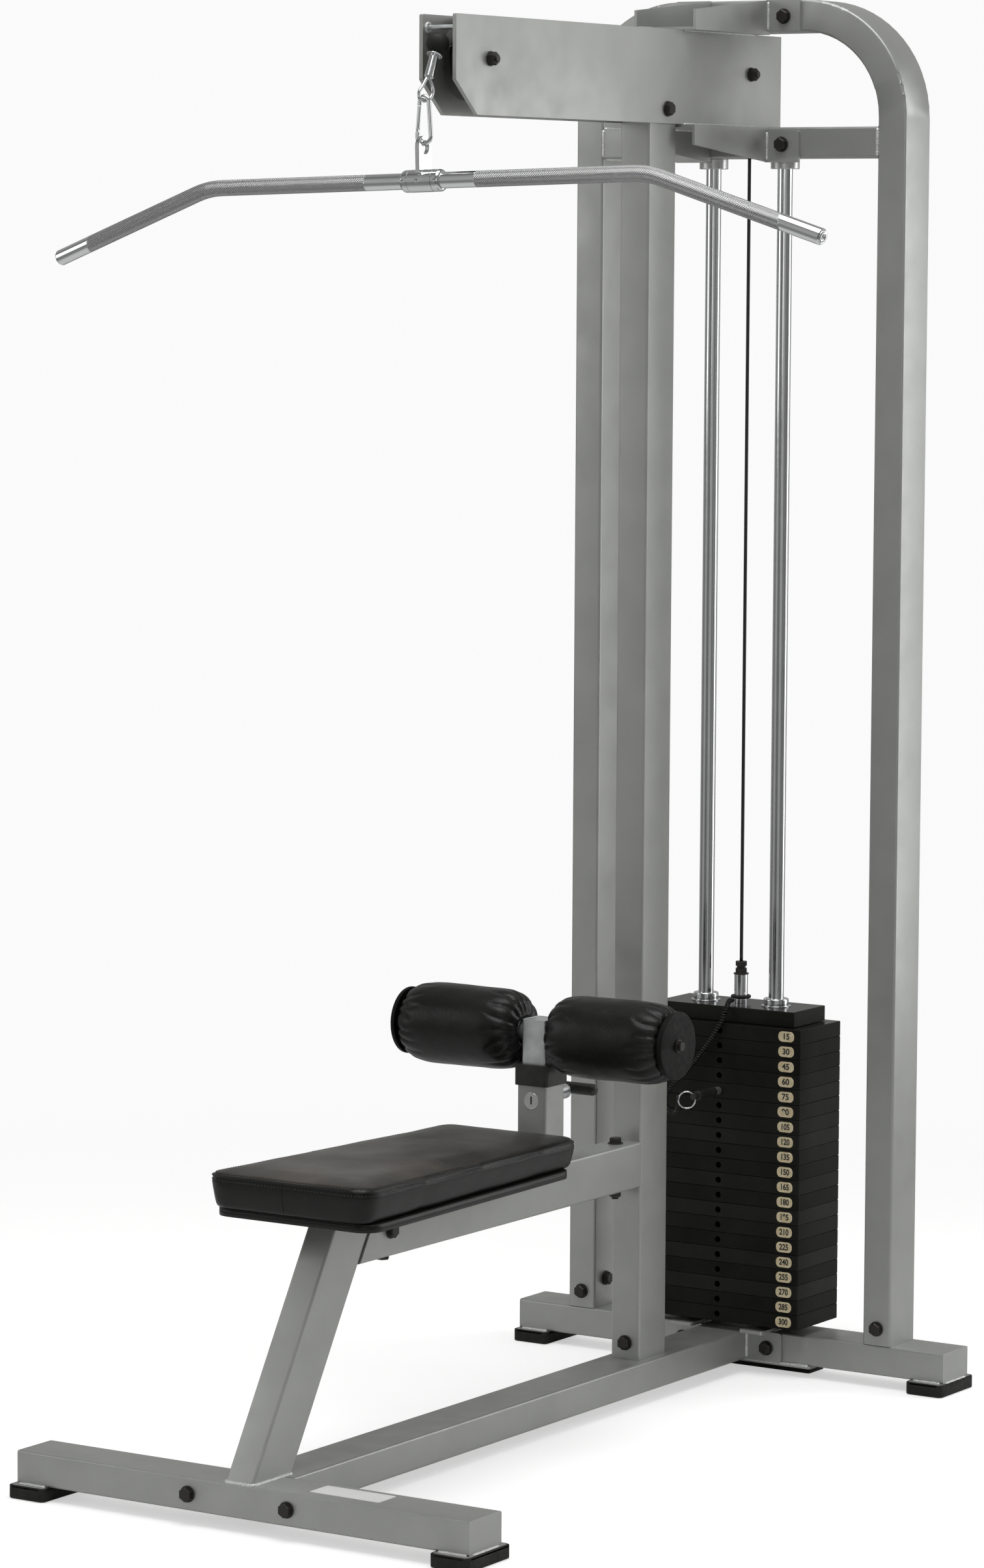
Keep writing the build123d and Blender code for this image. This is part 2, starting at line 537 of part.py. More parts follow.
with BuildPart() as seat_board:
    with BuildSketch(Plane.XY.offset(SEAT_Z0 - SEAT_BOARD)) as board_outline:
        taper(SEAT_HALF_F - 4.5, SEAT_HALF_B - 1.5, SEAT_Y0 + 17.5, SEAT_Y1 - 23)
        fillet(board_outline.vertices(), 30)
    extrude(amount=SEAT_BOARD)
    with BuildSketch(Plane.XY.offset(BEAM_Z1)):
        with Locations((0, -325)):
            Rectangle(100, 470)
    extrude(amount=SEAT_PACK)
save(seat_board.part, "seat_board")

with BuildPart() as seat_cushion:
    with BuildSketch(Plane.XY.offset(SEAT_Z0)) as cushion_outline:
        taper(SEAT_HALF_F, SEAT_HALF_B, SEAT_Y0, SEAT_Y1)
        fillet(cushion_outline.vertices(), 32)
    extrude(amount=70)
    # the top falls a little toward the back
    with BuildSketch(Plane(origin=(-200, 0, 0), z_dir=X, x_dir=Y)):
        Polygon((SEAT_Y0, SEAT_Z0 - 1), (SEAT_Y1, SEAT_Z0 - 1), (SEAT_Y1, SEAT_TOP_B),
                (SEAT_Y0, SEAT_TOP_F), align=None)
    extrude(amount=400, mode=Mode.INTERSECT)
    fillet(seat_cushion.faces().sort_by(Axis.Z)[-1].edges(), 9)
save(seat_cushion.part, "seat_cushion")

# ---------------------------------------------------------------- guide rods
PLATE_PITCH, PLATE_COUNT, LIFTED = 25.4, 20, 5
PLATE_T = 25.0
PLATE_HALF, PLATE_Y0, PLATE_Y1 = 154.5, 631.0, 771.0
STACK_Z0 = 85.4
STACK_TOP = STACK_Z0 + PLATE_COUNT * PLATE_PITCH
ROD_BAR_T, ROD_BAR_W, ROD_BAR_Y0 = 6.0, 44.0, 625.0    # bars under the rods
ROD_BOTTOM = BASE_TOP + ROD_BAR_T
ROD_TOP = XBAR_Z0 + 16


def guide_rod(x):
    with BuildPart() as rod:
        add(cylinder((x, STACK_Y, ROD_BOTTOM), Z, ROD_R, ROD_TOP - ROD_BOTTOM))
        chamfer(rod.edges().group_by(Axis.Z)[-1], 1)
    return rod.part


def rod_collar(x):
    """Collar just under the crossbar."""
    with BuildPart() as collar:
        add(ring((x, STACK_Y, XBAR_Z0 - 17.2), Z, 24, ROD_R + 0.03, 17))
        chamfer(collar.edges().filter_by(GeomType.CIRCLE).filter_by(lambda e: e.radius > 20), 0.8)
    return collar.part


def stack_bumper(x):
    with BuildPart() as bumper:
        add(ring((x, STACK_Y, ROD_BOTTOM), Z, 25, ROD_R + 0.3, STACK_Z0 - ROD_BOTTOM - 0.2))
        fillet(bumper.edges().group_by(Axis.Z)[-1], 1.5)
    return bumper.part


ROD_XS = (-ROD_X, ROD_X)
save(group([slab((x - ROD_BAR_W / 2, x + ROD_BAR_W / 2, ROD_BAR_Y0, PLATE_Y1), 4, BASE_TOP,
                 ROD_BAR_T) for x in ROD_XS]), "rod_support_bars")
save(group([guide_rod(x) for x in ROD_XS]), "guide_rods")
save(group([rod_collar(x) for x in ROD_XS]), "rod_top_collars")
save(group([stack_bumper(x) for x in ROD_XS]), "stack_bumpers")

# ---------------------------------------------------------------- weight stack
HEAD_HALF, HEAD_Y0, HEAD_Y1, HEAD_T = 133.0, 648.0, 755.0, 25.4
HEAD_Z0 = STACK_TOP + 0.6
HEAD_TOP = HEAD_Z0 + HEAD_T
STEM_R = 9.5
SLEEVE_R = 11.5
SLEEVE_TOP = HEAD_TOP + 49.0
SLEEVE_LID = 3.5                # thickness of the sleeve's closed top
TERMINAL_HOLE_R = 5.1           # passes the cable terminal
TERMINAL_Z0 = SLEEVE_TOP - 3.4
NUT_TOP = SLEEVE_TOP + 23.0


def weight_plate(k):
    """Plate k, counted from 1 at the top."""
    z = STACK_TOP - k * PLATE_PITCH
    with BuildPart() as plate:
        with BuildSketch(Plane.XY.offset(z)):
            with Locations((0, (PLATE_Y0 + PLATE_Y1) / 2)):
                RectangleRounded(2 * PLATE_HALF, PLATE_Y1 - PLATE_Y0, 3)
            with Locations((-ROD_X, STACK_Y), (ROD_X, STACK_Y)):
                Circle(ROD_R + 1.3, mode=Mode.SUBTRACT)
            with Locations((0, STACK_Y)):
                Circle(STEM_R + 3, mode=Mode.SUBTRACT)
        extrude(amount=PLATE_T)
        chamfer(plate.faces().sort_by(Axis.Z)[-1].outer_wire().edges(), 0.9)
        chamfer(plate.faces().sort_by(Axis.Z)[0].outer_wire().edges(), 0.9)
        # selector pin hole from the front
        add(cylinder((0, PLATE_Y0 - 1, z + PLATE_T / 2), Y, 5.4, STACK_Y - PLATE_Y0),
            mode=Mode.SUBTRACT)
    return plate.part


save(group([weight_plate(k) for k in range(1, LIFTED + 1)]), "lifted_weight_plates")
save(group([weight_plate(k) for k in range(LIFTED + 1, PLATE_COUNT + 1)]),
     "resting_weight_plates")

with BuildPart() as head_plate:
    with BuildSketch(Plane.XY.offset(HEAD_Z0)):
        with Locations((0, (HEAD_Y0 + HEAD_Y1) / 2)):
            RectangleRounded(2 * HEAD_HALF, HEAD_Y1 - HEAD_Y0, 2)
        with Locations((-ROD_X, STACK_Y), (ROD_X, STACK_Y)):
            Circle(16.0, mode=Mode.SUBTRACT)
        with Locations((0, STACK_Y)):
            Circle(STEM_R + 0.05, mode=Mode.SUBTRACT)
    extrude(amount=HEAD_T)
    chamfer(head_plate.faces().sort_by(Axis.Z)[-1].outer_wire().edges(), 0.9)
    # set screw hole from the front to the stem
    add(cylinder((0, HEAD_Y0 - 1, HEAD_Z0 + HEAD_T / 2), Y, 4.0, STACK_Y - HEAD_Y0 - 9),
        mode=Mode.SUBTRACT)
save(head_plate.part, "head_plate")


def head_bushing(x):
    """Bush in the head plate with a flange and a rounded boss on top."""
    bore_r = ROD_R + 0.06
    with BuildPart() as bushing:
        add(ring((x, STACK_Y, HEAD_Z0 + 1), Z, 15.95, bore_r, HEAD_T))
        add(ring((x, STACK_Y, HEAD_TOP), Z, 25.0, bore_r, 1.6))
        add(ring((x, STACK_Y, HEAD_TOP + 1.6), Z, 21.3, bore_r, 12))
        fillet(bushing.faces().sort_by(Axis.Z)[-1].outer_wire().edges(), 2.5)
    return bushing.part


save(group([head_bushing(x) for x in ROD_XS]), "head_bushings")

with BuildPart() as selector_stem:
    add(cylinder((0, STACK_Y, STACK_Z0 + 3), Z, STEM_R, SLEEVE_TOP - 4 - STACK_Z0 - 3))
    chamfer(selector_stem.edges().group_by(Axis.Z)[0], 1.5)
    for k in range(1, PLATE_COUNT + 1):
        add(cylinder((0, STACK_Y - 20, STACK_TOP - k * PLATE_PITCH + PLATE_T / 2), Y, 5.2, 40),
            mode=Mode.SUBTRACT)
save(selector_stem.part, "selector_stem")

with BuildPart() as stem_sleeve:
    add(ring((0, STACK_Y, HEAD_TOP), Z, SLEEVE_R, STEM_R + 0.05, SLEEVE_TOP - HEAD_TOP))
    add(ring((0, STACK_Y, SLEEVE_TOP - SLEEVE_LID), Z, SLEEVE_R, TERMINAL_HOLE_R, SLEEVE_LID))
    fillet(stem_sleeve.faces().sort_by(Axis.Z)[-1].outer_wire().edges(), 0.8)
save(stem_sleeve.part, "stem_sleeve")

with BuildPart() as lower_nut:
    add(ring((0, STACK_Y, SLEEVE_TOP), Z, 12.8, TERMINAL_HOLE_R, 2.0))
    with BuildSketch(Plane.XY.offset(SLEEVE_TOP + 2.0)):
        with Locations((0, STACK_Y)):
            RegularPolygon(9.5, 6, major_radius=False)
            Circle(TERMINAL_HOLE_R, mode=Mode.SUBTRACT)
    extrude(amount=8.0)
with BuildPart() as cable_terminal:
    add(cylinder((0, STACK_Y, TERMINAL_Z0), Z, 5.0, 16.5))
    add(cylinder((0, STACK_Y, SLEEVE_TOP + 10.4), Z, 7.5, 4.2))
    with BuildSketch(Plane.XY.offset(SLEEVE_TOP + 14.6)):
        with Locations((0, STACK_Y)):
            RegularPolygon(9.5, 6, major_radius=False)
    extrude(amount=7.4)
    chamfer(cable_terminal.edges().group_by(Axis.Z)[-1], 1.0)
    add(cylinder((0, STACK_Y, TERMINAL_Z0), Z, 3.2, 40), mode=Mode.SUBTRACT)
save(group([lower_nut.part, cable_terminal.part]), "stem_nuts")

LANYARD_RING_Z = HEAD_TOP + 11.0
with BuildPart() as lanyard_ring:
    with BuildSketch(Plane(origin=(0, STACK_Y, LANYARD_RING_Z), z_dir=Y, x_dir=X)):
        with Locations((14.4, 0)):
            Circle(2.8)
    revolve(axis=Axis((0, STACK_Y, LANYARD_RING_Z), Z), revolution_arc=360)
save(lanyard_ring.part, "lanyard_ring")

# ---------------------------------------------------------------- selector pin
PIN_Z = STACK_TOP - (LIFTED - 0.5) * PLATE_PITCH - 0.2
PIN_Y0 = 612.0                           # where the pin leaves its grip
GRIP_Y0, NECK_Y, EYE_Y = 545.0, 558.0, 550.5
KEY_RING_R, KEY_RING_WIRE_R = 14.0, 1.3
HANG_DIR = (-0.757, -0.486, -0.430)      # from the cross hole towards the split ring's centre
HOLE_DIR = (-0.363, -0.233, 0.902)       # the ring's direction where it passes the hole

with BuildPart() as selector_pin:
    add(cylinder((0, PIN_Y0, PIN_Z), Y, 4.7, 100))
    chamfer(selector_pin.edges().group_by(Axis.Y)[-1], 1.5)
    add(cylinder((0, PIN_Y0, PIN_Z), Y, 6.5, 17))
save(selector_pin.part, "selector_pin")

with BuildPart() as selector_pin_grip:
    add(cylinder((0, NECK_Y, PIN_Z), Y, 8.0, PIN_Y0 - NECK_Y))
    fillet(selector_pin_grip.edges().group_by(Axis.Y)[0], 2.0)
    add(cylinder((0, GRIP_Y0, PIN_Z), Y, 5.5, NECK_Y - GRIP_Y0 + 1))
    fillet(selector_pin_grip.edges().group_by(Axis.Y)[0], 1.5)
    hole_start = tuple(c - 15 * d for c, d in zip((0, EYE_Y, PIN_Z), HOLE_DIR))
    add(cylinder(hole_start, HOLE_DIR, 3.0, 30), mode=Mode.SUBTRACT)
save(selector_pin_grip.part, "selector_pin_grip")

# split ring through the cross hole
key_ring_centre = tuple(c + KEY_RING_R * d for c, d in zip((0, EYE_Y, PIN_Z), HANG_DIR))
key_ring_normal = Vector(*HANG_DIR).cross(Vector(*HOLE_DIR)).normalized()
with BuildPart() as key_ring:
    with BuildSketch(Plane(origin=key_ring_centre, x_dir=HANG_DIR, z_dir=HOLE_DIR)):
        with Locations((KEY_RING_R, 0)):
            Circle(KEY_RING_WIRE_R)
    revolve(axis=Axis(key_ring_centre, tuple(key_ring_normal)), revolution_arc=360)
save(key_ring.part, "key_ring")

# x, y, z along the lanyard, from the ring on the stem to the grip
LANYARD_POINTS = [
    (1, 677, 626.8), (4, 656, 628.0), (7.5, 641.5, 620.0), (8, 630, 604), (0, 621.5, 583),
    (-12.6, 619, 562.9), (-42.9, 613, 520.1), (-65.9, 603, 492.8), (-78.2, 592, 472.1),
    (-74.7, 580, 457.4), (-60.9, 570, 447.8), (-43.4, 562, 446.1), (-33, 552, 455),
    (-29.5, 545, 464),
]
LANYARD_R = 4.2
with BuildPart() as pin_lanyard:
    with BuildLine() as lanyard_path:
        Spline(*LANYARD_POINTS)
    with BuildSketch(Plane(origin=lanyard_path.line @ 0, z_dir=lanyard_path.line % 0)):
        Circle(LANYARD_R)
    sweep(path=lanyard_path.wire())
save(pin_lanyard.part, "pin_lanyard")

# ---------------------------------------------------------------- pulleys
HUB_HALF, HUB_R = 13.0, 17.0
WEB_HALF, WEB_R = 5.0, 20.0                      # web half thickness, radius where it starts
GROOVE_R = SHEAVE_PITCH - CABLE_R - 0.15         # bottom of the groove
GROOVE_HALF = CABLE_R + 0.4
HUB_BORE_R = AXLE_R + 0.06
# (x, radius) of the right half of the wheel's section, from the bore to the groove
SHEAVE_HALF_SECTION = [
    (HUB_HALF, HUB_BORE_R), (HUB_HALF, HUB_R), (WEB_HALF, WEB_R), (WEB_HALF, GROOVE_R - 10),
    (SHEAVE_W / 2, GROOVE_R - 4), (SHEAVE_W / 2, SHEAVE_R), (SHEAVE_W / 2 - 2, SHEAVE_R),
    (GROOVE_HALF, SHEAVE_PITCH + 0.5), (GROOVE_HALF, GROOVE_R),
]
SHEAVE_SECTION = SHEAVE_HALF_SECTION + [(-x, r) for x, r in reversed(SHEAVE_HALF_SECTION)]


def sheave(y):
    """Grooved wheel and hub, turned about X, with six round holes in the web."""
    with BuildPart() as wheel:
        with BuildSketch(Plane(origin=(0, y, AXLE_Z), z_dir=NY, x_dir=X)):
            with BuildLine():
                Polyline(*SHEAVE_SECTION, close=True)
            make_face()
        revolve(axis=Axis((0, y, AXLE_Z), X), revolution_arc=360)
        for angle in range(0, 360, 60):
            hole = (-8, y + 31 * cos(radians(angle)), AXLE_Z + 31 * sin(radians(angle)))
            add(cylinder(hole, X, 6, 16), mode=Mode.SUBTRACT)
    return wheel.part


def pulley_axle(y):
    """Axle bolt with its head and washer outside the left boom plate."""
    with BuildPart() as axle:
        with BuildSketch(facing((-BOOM_OUT - 10, y, AXLE_Z), X)):
            RegularPolygon(9.0, 6, major_radius=False)
        extrude(amount=8)
        add(cylinder((-BOOM_OUT - 2, y, AXLE_Z), X, 11.5, 2))
        add(cylinder((-BOOM_OUT, y, AXLE_Z), X, AXLE_R, 2 * BOOM_OUT + 15))
        chamfer(axle.edges().group_by(Axis.X)[-1], 1)
    return axle.part


save(sheave(FRONT_AXLE_Y), "front_pulley_wheel")
save(sheave(REAR_AXLE_Y), "rear_pulley_wheel")

axle_solids = []
for y in (FRONT_AXLE_Y, REAR_AXLE_Y):
    axle_solids.append(pulley_axle(y))
    axle_solids.append(hex_nut((BOOM_OUT, y, AXLE_Z), X, radius=AXLE_R, flats=18.0, washer_r=11.5))
    # spacers between hub and boom plates
    for side in (-1, 1):
        axle_solids.append(ring((side * 13.2, y, AXLE_Z), (side, 0, 0), 10, AXLE_R + 0.03,
                                BOOM_IN - 13.25))
save(group(axle_solids), "pulley_axles")

# ---------------------------------------------------------------- cable
BALL_Y, BALL_Z, BALL_R = -239.0, 2192.0, 17.75


def on_sheave(axle_y, angle):
    """Point of the cable on a sheave, angle in degrees from +Y towards +Z."""
    return (0, axle_y + SHEAVE_PITCH * cos(radians(angle)),
            AXLE_Z + SHEAVE_PITCH * sin(radians(angle)))


run_start = on_sheave(FRONT_AXLE_Y, 160)
front_top = (0, FRONT_AXLE_Y, AXLE_Z + SHEAVE_PITCH)
rear_top = (0, REAR_AXLE_Y, AXLE_Z + SHEAVE_PITCH)
with BuildPart() as cable_top_run:
    with BuildLine() as run_path:
        ThreePointArc(run_start, on_sheave(FRONT_AXLE_Y, 125), front_top)
        Line(front_top, rear_top)
        ThreePointArc(rear_top, on_sheave(REAR_AXLE_Y, 45),
                      (0, REAR_AXLE_Y + SHEAVE_PITCH, AXLE_Z))
    with BuildSketch(Plane(origin=run_start, z_dir=run_path.wire() % 0)):
        Circle(CABLE_R)
    sweep(path=run_path.wire())
save(cable_top_run.part, "cable_top_run")

save(cylinder((0, STACK_Y, NUT_TOP + 1.0), Z, CABLE_R, AXLE_Z - 0.1 - NUT_TOP - 1.0),
     "rear_cable_drop")

# short level piece between the front sheave and the ball
lead_y = run_start[1] - 3.4
save(cylinder((0, lead_y, run_start[2] - 3.0), NY, CABLE_R, lead_y - (BALL_Y + BALL_R + 0.4)),
     "front_cable_drop")

with BuildPart() as cable_stop_ball:
    with BuildSketch(Plane(origin=(0, BALL_Y, BALL_Z), z_dir=NY, x_dir=X)):
        with BuildLine():
            ThreePointArc((0, -BALL_R), (BALL_R, 0), (0, BALL_R))
            Line((0, BALL_R), (0, -BALL_R))
        make_face()
    revolve(axis=Axis((0, BALL_Y, BALL_Z), Z), revolution_arc=360)
save(cable_stop_ball.part, "cable_stop_ball")

# ---------------------------------------------------------------- cable end fitting
BAR_Y, BAR_Z, BAR_R = -275.0, 1985.0, 12.5
HOOK_TOP, HOOK_BOTTOM, HOOK_R = 2111.6, 2040.8, 3.4     # outer ends and wire radius
FITTING_FORWARD, FITTING_DOWN = 23.0, 50.0              # slope of the fitting below the ball
fitting_length = sqrt(FITTING_FORWARD ** 2 + FITTING_DOWN ** 2)
FITTING_DIR = (0, -FITTING_FORWARD / fitting_length, -FITTING_DOWN / fitting_length)
EYE_TURN = radians(65)                                  # eye's plane, turned from X towards Y
EYE_HALF_W, EYE_WIRE_R = 12.0, 2.6
EYE_BOTTOM_Z = HOOK_TOP - HOOK_R - 3.2
# eye's outline: sideways as a share of the half width, downwards as a share of the height
EYE_SHAPE = [(0.0, 0.0), (0.62, 0.28), (1.0, 0.62), (0.72, 0.90),
             (0.0, 1.0), (-0.72, 0.90), (-1.0, 0.62), (-0.62, 0.28)]


def below_ball(distance):
    """Point on the fitting's axis at a distance from the ball's centre."""
    return (0, BALL_Y + FITTING_DIR[1] * distance, BALL_Z + FITTING_DIR[2] * distance)


_, eye_top_y, fitting_end_z = below_ball(BALL_R + 38.4)
eye_top_z = fitting_end_z - 1.5


def eye_point(across, down):
    return (across * EYE_HALF_W * cos(EYE_TURN),
            eye_top_y + across * EYE_HALF_W * sin(EYE_TURN) + down * (BAR_Y - eye_top_y),
            eye_top_z + down * (EYE_BOTTOM_Z - eye_top_z))


with BuildPart() as fitting_barrel:
    add(cylinder(below_ball(BALL_R + 0.2), FITTING_DIR, 12.5, 3.0))
    add(cylinder(below_ball(BALL_R + 3.2), FITTING_DIR, 7.4, 35))
    chamfer(fitting_barrel.edges().filter_by(GeomType.CIRCLE).filter_by(lambda e: e.radius > 12),
            1.0)
with BuildPart() as cable_eye:
    with BuildLine() as eye_path:
        Spline(*[eye_point(across, down) for across, down in EYE_SHAPE], periodic=True)
    with BuildSketch(Plane(origin=eye_path.line @ 0, z_dir=eye_path.line % 0)):
        Circle(EYE_WIRE_R)
    sweep(path=eye_path.wire())
with BuildPart() as cable_end_fitting:
    add(fitting_barrel.part)
    add(cable_eye.part)
save(cable_end_fitting.part, "cable_end_fitting")

# ---------------------------------------------------------------- snap hook
# Pear shaped, in the XZ plane, with its gate on the left side.
HOOK_TOP_R, HOOK_BOTTOM_R = 8.2, 12.2               # end radii of the wire's centre line
top_centre_z = HOOK_TOP - HOOK_TOP_R
bottom_centre_z = HOOK_BOTTOM + HOOK_BOTTOM_R
radius_step = HOOK_BOTTOM_R - HOOK_TOP_R
# lean of the straight sides
side_lean = atan2(radius_step, sqrt((top_centre_z - bottom_centre_z) ** 2 - radius_step ** 2))
RIVET_R, TONGUE_T = 1.1, 2.2


def tangent_point(side, radius, centre_z):
    """Where a straight side meets an end arc of the hook."""
    return (side * radius * cos(side_lean), BAR_Y, centre_z + radius * sin(side_lean))


def mix(start, end, share):
    return tuple(a + (b - a) * share for a, b in zip(start, end))


right_top = tangent_point(1, HOOK_TOP_R, top_centre_z)
right_bottom = tangent_point(1, HOOK_BOTTOM_R, bottom_centre_z)
left_top = tangent_point(-1, HOOK_TOP_R, top_centre_z)
left_bottom = tangent_point(-1, HOOK_BOTTOM_R, bottom_centre_z)
gate_start = mix(left_bottom, left_top, 0.10)
gate_end = mix(left_bottom, left_top, 0.86)
gate_vector = tuple(b - a for a, b in zip(gate_start, gate_end))
gate_length = sqrt(sum(c * c for c in gate_vector))
gate_dir = tuple(c / gate_length for c in gate_vector)
rivet = tuple(c + 3.0 * d for c, d in zip(gate_start, gate_dir))    # the gate's pivot


def across_rivet(offset):
    """Plane square to Y through the rivet, offset from the hook's middle; x along the gate."""
    return Plane(origin=(rivet[0], BAR_Y + offset, rivet[2]), z_dir=Y, x_dir=gate_dir)


with BuildPart() as hook_wire:
    with BuildLine() as hook_path:
        Line(mix(left_bottom, left_top, 0.08), left_bottom)
        ThreePointArc(left_bottom, (0, BAR_Y, bottom_centre_z - HOOK_BOTTOM_R), right_bottom)
        Line(right_bottom, right_top)
        ThreePointArc(right_top, (0, BAR_Y, top_centre_z + HOOK_TOP_R), left_top)
        Line(left_top, mix(left_bottom, left_top, 0.88))
    with BuildSketch(Plane(origin=hook_path.wire() @ 0, z_dir=hook_path.wire() % 0)):
        Circle(HOOK_R)
    sweep(path=hook_path.wire())
# a flat tongue on the lower end of the wire carries the gate's rivet
with BuildPart() as tongue:
    with BuildSketch(across_rivet(-TONGUE_T / 2)):
        Circle(2.2)
        with Locations((-2.3, 0)):
            Rectangle(4.6, 4.4)
        Circle(RIVET_R + 0.15, mode=Mode.SUBTRACT)
    extrude(amount=TONGUE_T)
with BuildPart() as carabiner_body:
    add(hook_wire.part)
    add(tongue.part)
save(carabiner_body.part, "carabiner_body")

with BuildPart() as carabiner_gate:
    add(cylinder(gate_start, gate_dir, HOOK_R - 0.5, gate_length))
    fillet(carabiner_gate.edges().filter_by(GeomType.CIRCLE), 1.0)
    # slot for the tongue, then the rivet across it
    with BuildSketch(across_rivet(-TONGUE_T / 2 - 0.2)):
        with Locations((-0.7, 0)):
            Rectangle(6.8, 9.0)
    extrude(amount=TONGUE_T + 0.4, mode=Mode.SUBTRACT)
    with BuildSketch(across_rivet(-3.3)):
        Circle(RIVET_R)
    extrude(amount=6.6)
save(carabiner_gate.part, "carabiner_gate")

# ---------------------------------------------------------------- bar
TILT = radians(1.55)                      # the bar hangs a little low on the left
BAR_BEND, BAR_END, BAR_DROP = 398.0, 691.0, 101.0
BAR_SHIFT = -2.7                          # evens out the two ends
HANGER_T, HANGER_R = 7.5, 17.0
HANGER_HOLE_UP, HANGER_HOLE_R = 2035.6 - BAR_Z, 10.8    # above the bar's axis
SLEEVE_LENGTH = 43.0
BAR_CENTRE = (0, BAR_Y, BAR_Z)
BAR_DIR = (cos(TILT), 0, sin(TILT))       # along the bar, to the right
BAR_UP = (-sin(TILT), 0, cos(TILT))       # square to it, upwards


def bar_point(x, z=0):
    """A point x along the bar and z above its axis."""
    return tuple(c + x * a + z * u for c, a, u in zip(BAR_CENTRE, BAR_DIR, BAR_UP))


with BuildPart() as bar_hanger:
    # upright lug for the snap hook
    with BuildSketch(Plane(origin=bar_point(-HANGER_T / 2), z_dir=BAR_DIR, x_dir=Y)):
        with Locations((0, HANGER_HOLE_UP)):
            Circle(HANGER_R)
        with Locations((0, (HANGER_HOLE_UP + 12) / 2)):
            Rectangle(2 * HANGER_R, HANGER_HOLE_UP - 12)
        with Locations((0, HANGER_HOLE_UP)):
            Circle(HANGER_HOLE_R, mode=Mode.SUBTRACT)
    extrude(amount=HANGER_T)
    # sleeve around the bar
    add(cylinder(bar_point(-SLEEVE_LENGTH / 2), BAR_DIR, 17.2, SLEEVE_LENGTH))
    add(cylinder(bar_point(-SLEEVE_LENGTH / 2 - 1), BAR_DIR, BAR_R + 0.08, SLEEVE_LENGTH + 2),
        mode=Mode.SUBTRACT)
    # small hole through the sleeve's front wall
    add(cylinder((-3, BAR_Y - 30, BAR_Z), Y, 3.0, 25), mode=Mode.SUBTRACT)
save(bar_hanger.part, "bar_hanger")

with BuildPart() as lat_bar:
    with BuildLine() as bar_path:
        FilletPolyline(bar_point(-BAR_END + BAR_SHIFT, -BAR_DROP),
                       bar_point(-BAR_BEND + BAR_SHIFT), bar_point(BAR_BEND + BAR_SHIFT),
                       bar_point(BAR_END + BAR_SHIFT, -BAR_DROP), radius=150)
    with BuildSketch(Plane(origin=bar_path.wire() @ 0, z_dir=bar_path.wire() % 0)):
        Circle(BAR_R)
    sweep(path=bar_path.wire())
    chamfer(lat_bar.edges().filter_by(GeomType.CIRCLE).group_by(Axis.X)[0], 1.5)
    chamfer(lat_bar.edges().filter_by(GeomType.CIRCLE).group_by(Axis.X)[-1], 1.5)
save(lat_bar.part, "lat_bar")


def bar_collar(side):
    """Collar beside the hanger's sleeve, rounded outside, with a small hole in front."""
    outward = tuple(side * c for c in BAR_DIR)
    with BuildPart() as collar:
        add(cylinder(bar_point(side * 22.0), outward, 17.0, 14))
        fillet(collar.faces().sort_by(Axis(BAR_CENTRE, outward))[-1].edges(), 6)
        add(cylinder(bar_point(side * 21.0), outward, BAR_R + 0.02, 20), mode=Mode.SUBTRACT)
        add(cylinder((side * 29.0, BAR_Y - 30, BAR_Z + side * 29 * sin(TILT)), Y, 2.8, 25),
            mode=Mode.SUBTRACT)
    return collar.part


save(group([bar_collar(side) for side in (-1, 1)]), "bar_collars")

# ---------------------------------------------------------------- thigh pads
PAD_Y, PAD_Z, PAD_R = 72.0, 644.0, 68.0
PAD_X0, PAD_X1 = 28.0, 246.0
PAD_AXLE_R = 15.0
DISC_R, DISC_T = 54.0, 7.5
DISC_X = PAD_X1 + 0.5

with BuildPart() as adjust_tube:
    with BuildSketch(Plane.XY.offset(ADJ_Z0)):
        with Locations((0, ADJ_MID_Y)):
            RectangleRounded(2 * ADJ_HALF, ADJ_Y1 - ADJ_Y0, 3)
            RectangleRounded(2 * ADJ_HALF - 5, ADJ_Y1 - ADJ_Y0 - 5, 1, mode=Mode.SUBTRACT)
    extrude(amount=ADJ_Z1 - ADJ_Z0)
    # end cap
    with BuildSketch(Plane.XY.offset(ADJ_Z1 - 3)):
        with Locations((0, ADJ_MID_Y)):
            Rectangle(2 * ADJ_HALF - 4, ADJ_Y1 - ADJ_Y0 - 4)
    extrude(amount=2.5)
    # row of pull pin holes in the rear wall
    for k in range(ADJ_STEPS + 1):
        add(cylinder((0, ADJ_Y1 - 10, POP_Z - k * ADJ_PITCH), Y, 5.6, 20), mode=Mode.SUBTRACT)
    add(cylinder((-40, PAD_Y, PAD_Z), X, PAD_AXLE_R, 80), mode=Mode.SUBTRACT)
save(adjust_tube.part, "adjust_tube")

save(ring((-PAD_X1 - 0.2, PAD_Y, PAD_Z), X, PAD_AXLE_R, 12.0, 2 * PAD_X1 + 0.4), "pad_axle")


def end_disc(side):
    with BuildPart() as disc:
        add(ring((side * DISC_X, PAD_Y, PAD_Z), (side, 0, 0), DISC_R, 5.2, DISC_T))
        outer_face = disc.faces().filter_by(Plane.YZ).sort_by(Axis.X)[-1 if side > 0 else 0]
        fillet(outer_face.outer_wire().edges(), 2.5)
    return disc.part


save(group([end_disc(side) for side in (-1, 1)]), "pad_end_discs")
save(group([hex_bolt((side * (DISC_X + DISC_T), PAD_Y, PAD_Z), (side, 0, 0), 26, radius=5.0,
                     flats=15.0, head=6, washer_r=10.5) for side in (-1, 1)]), "pad_axle_bolts")


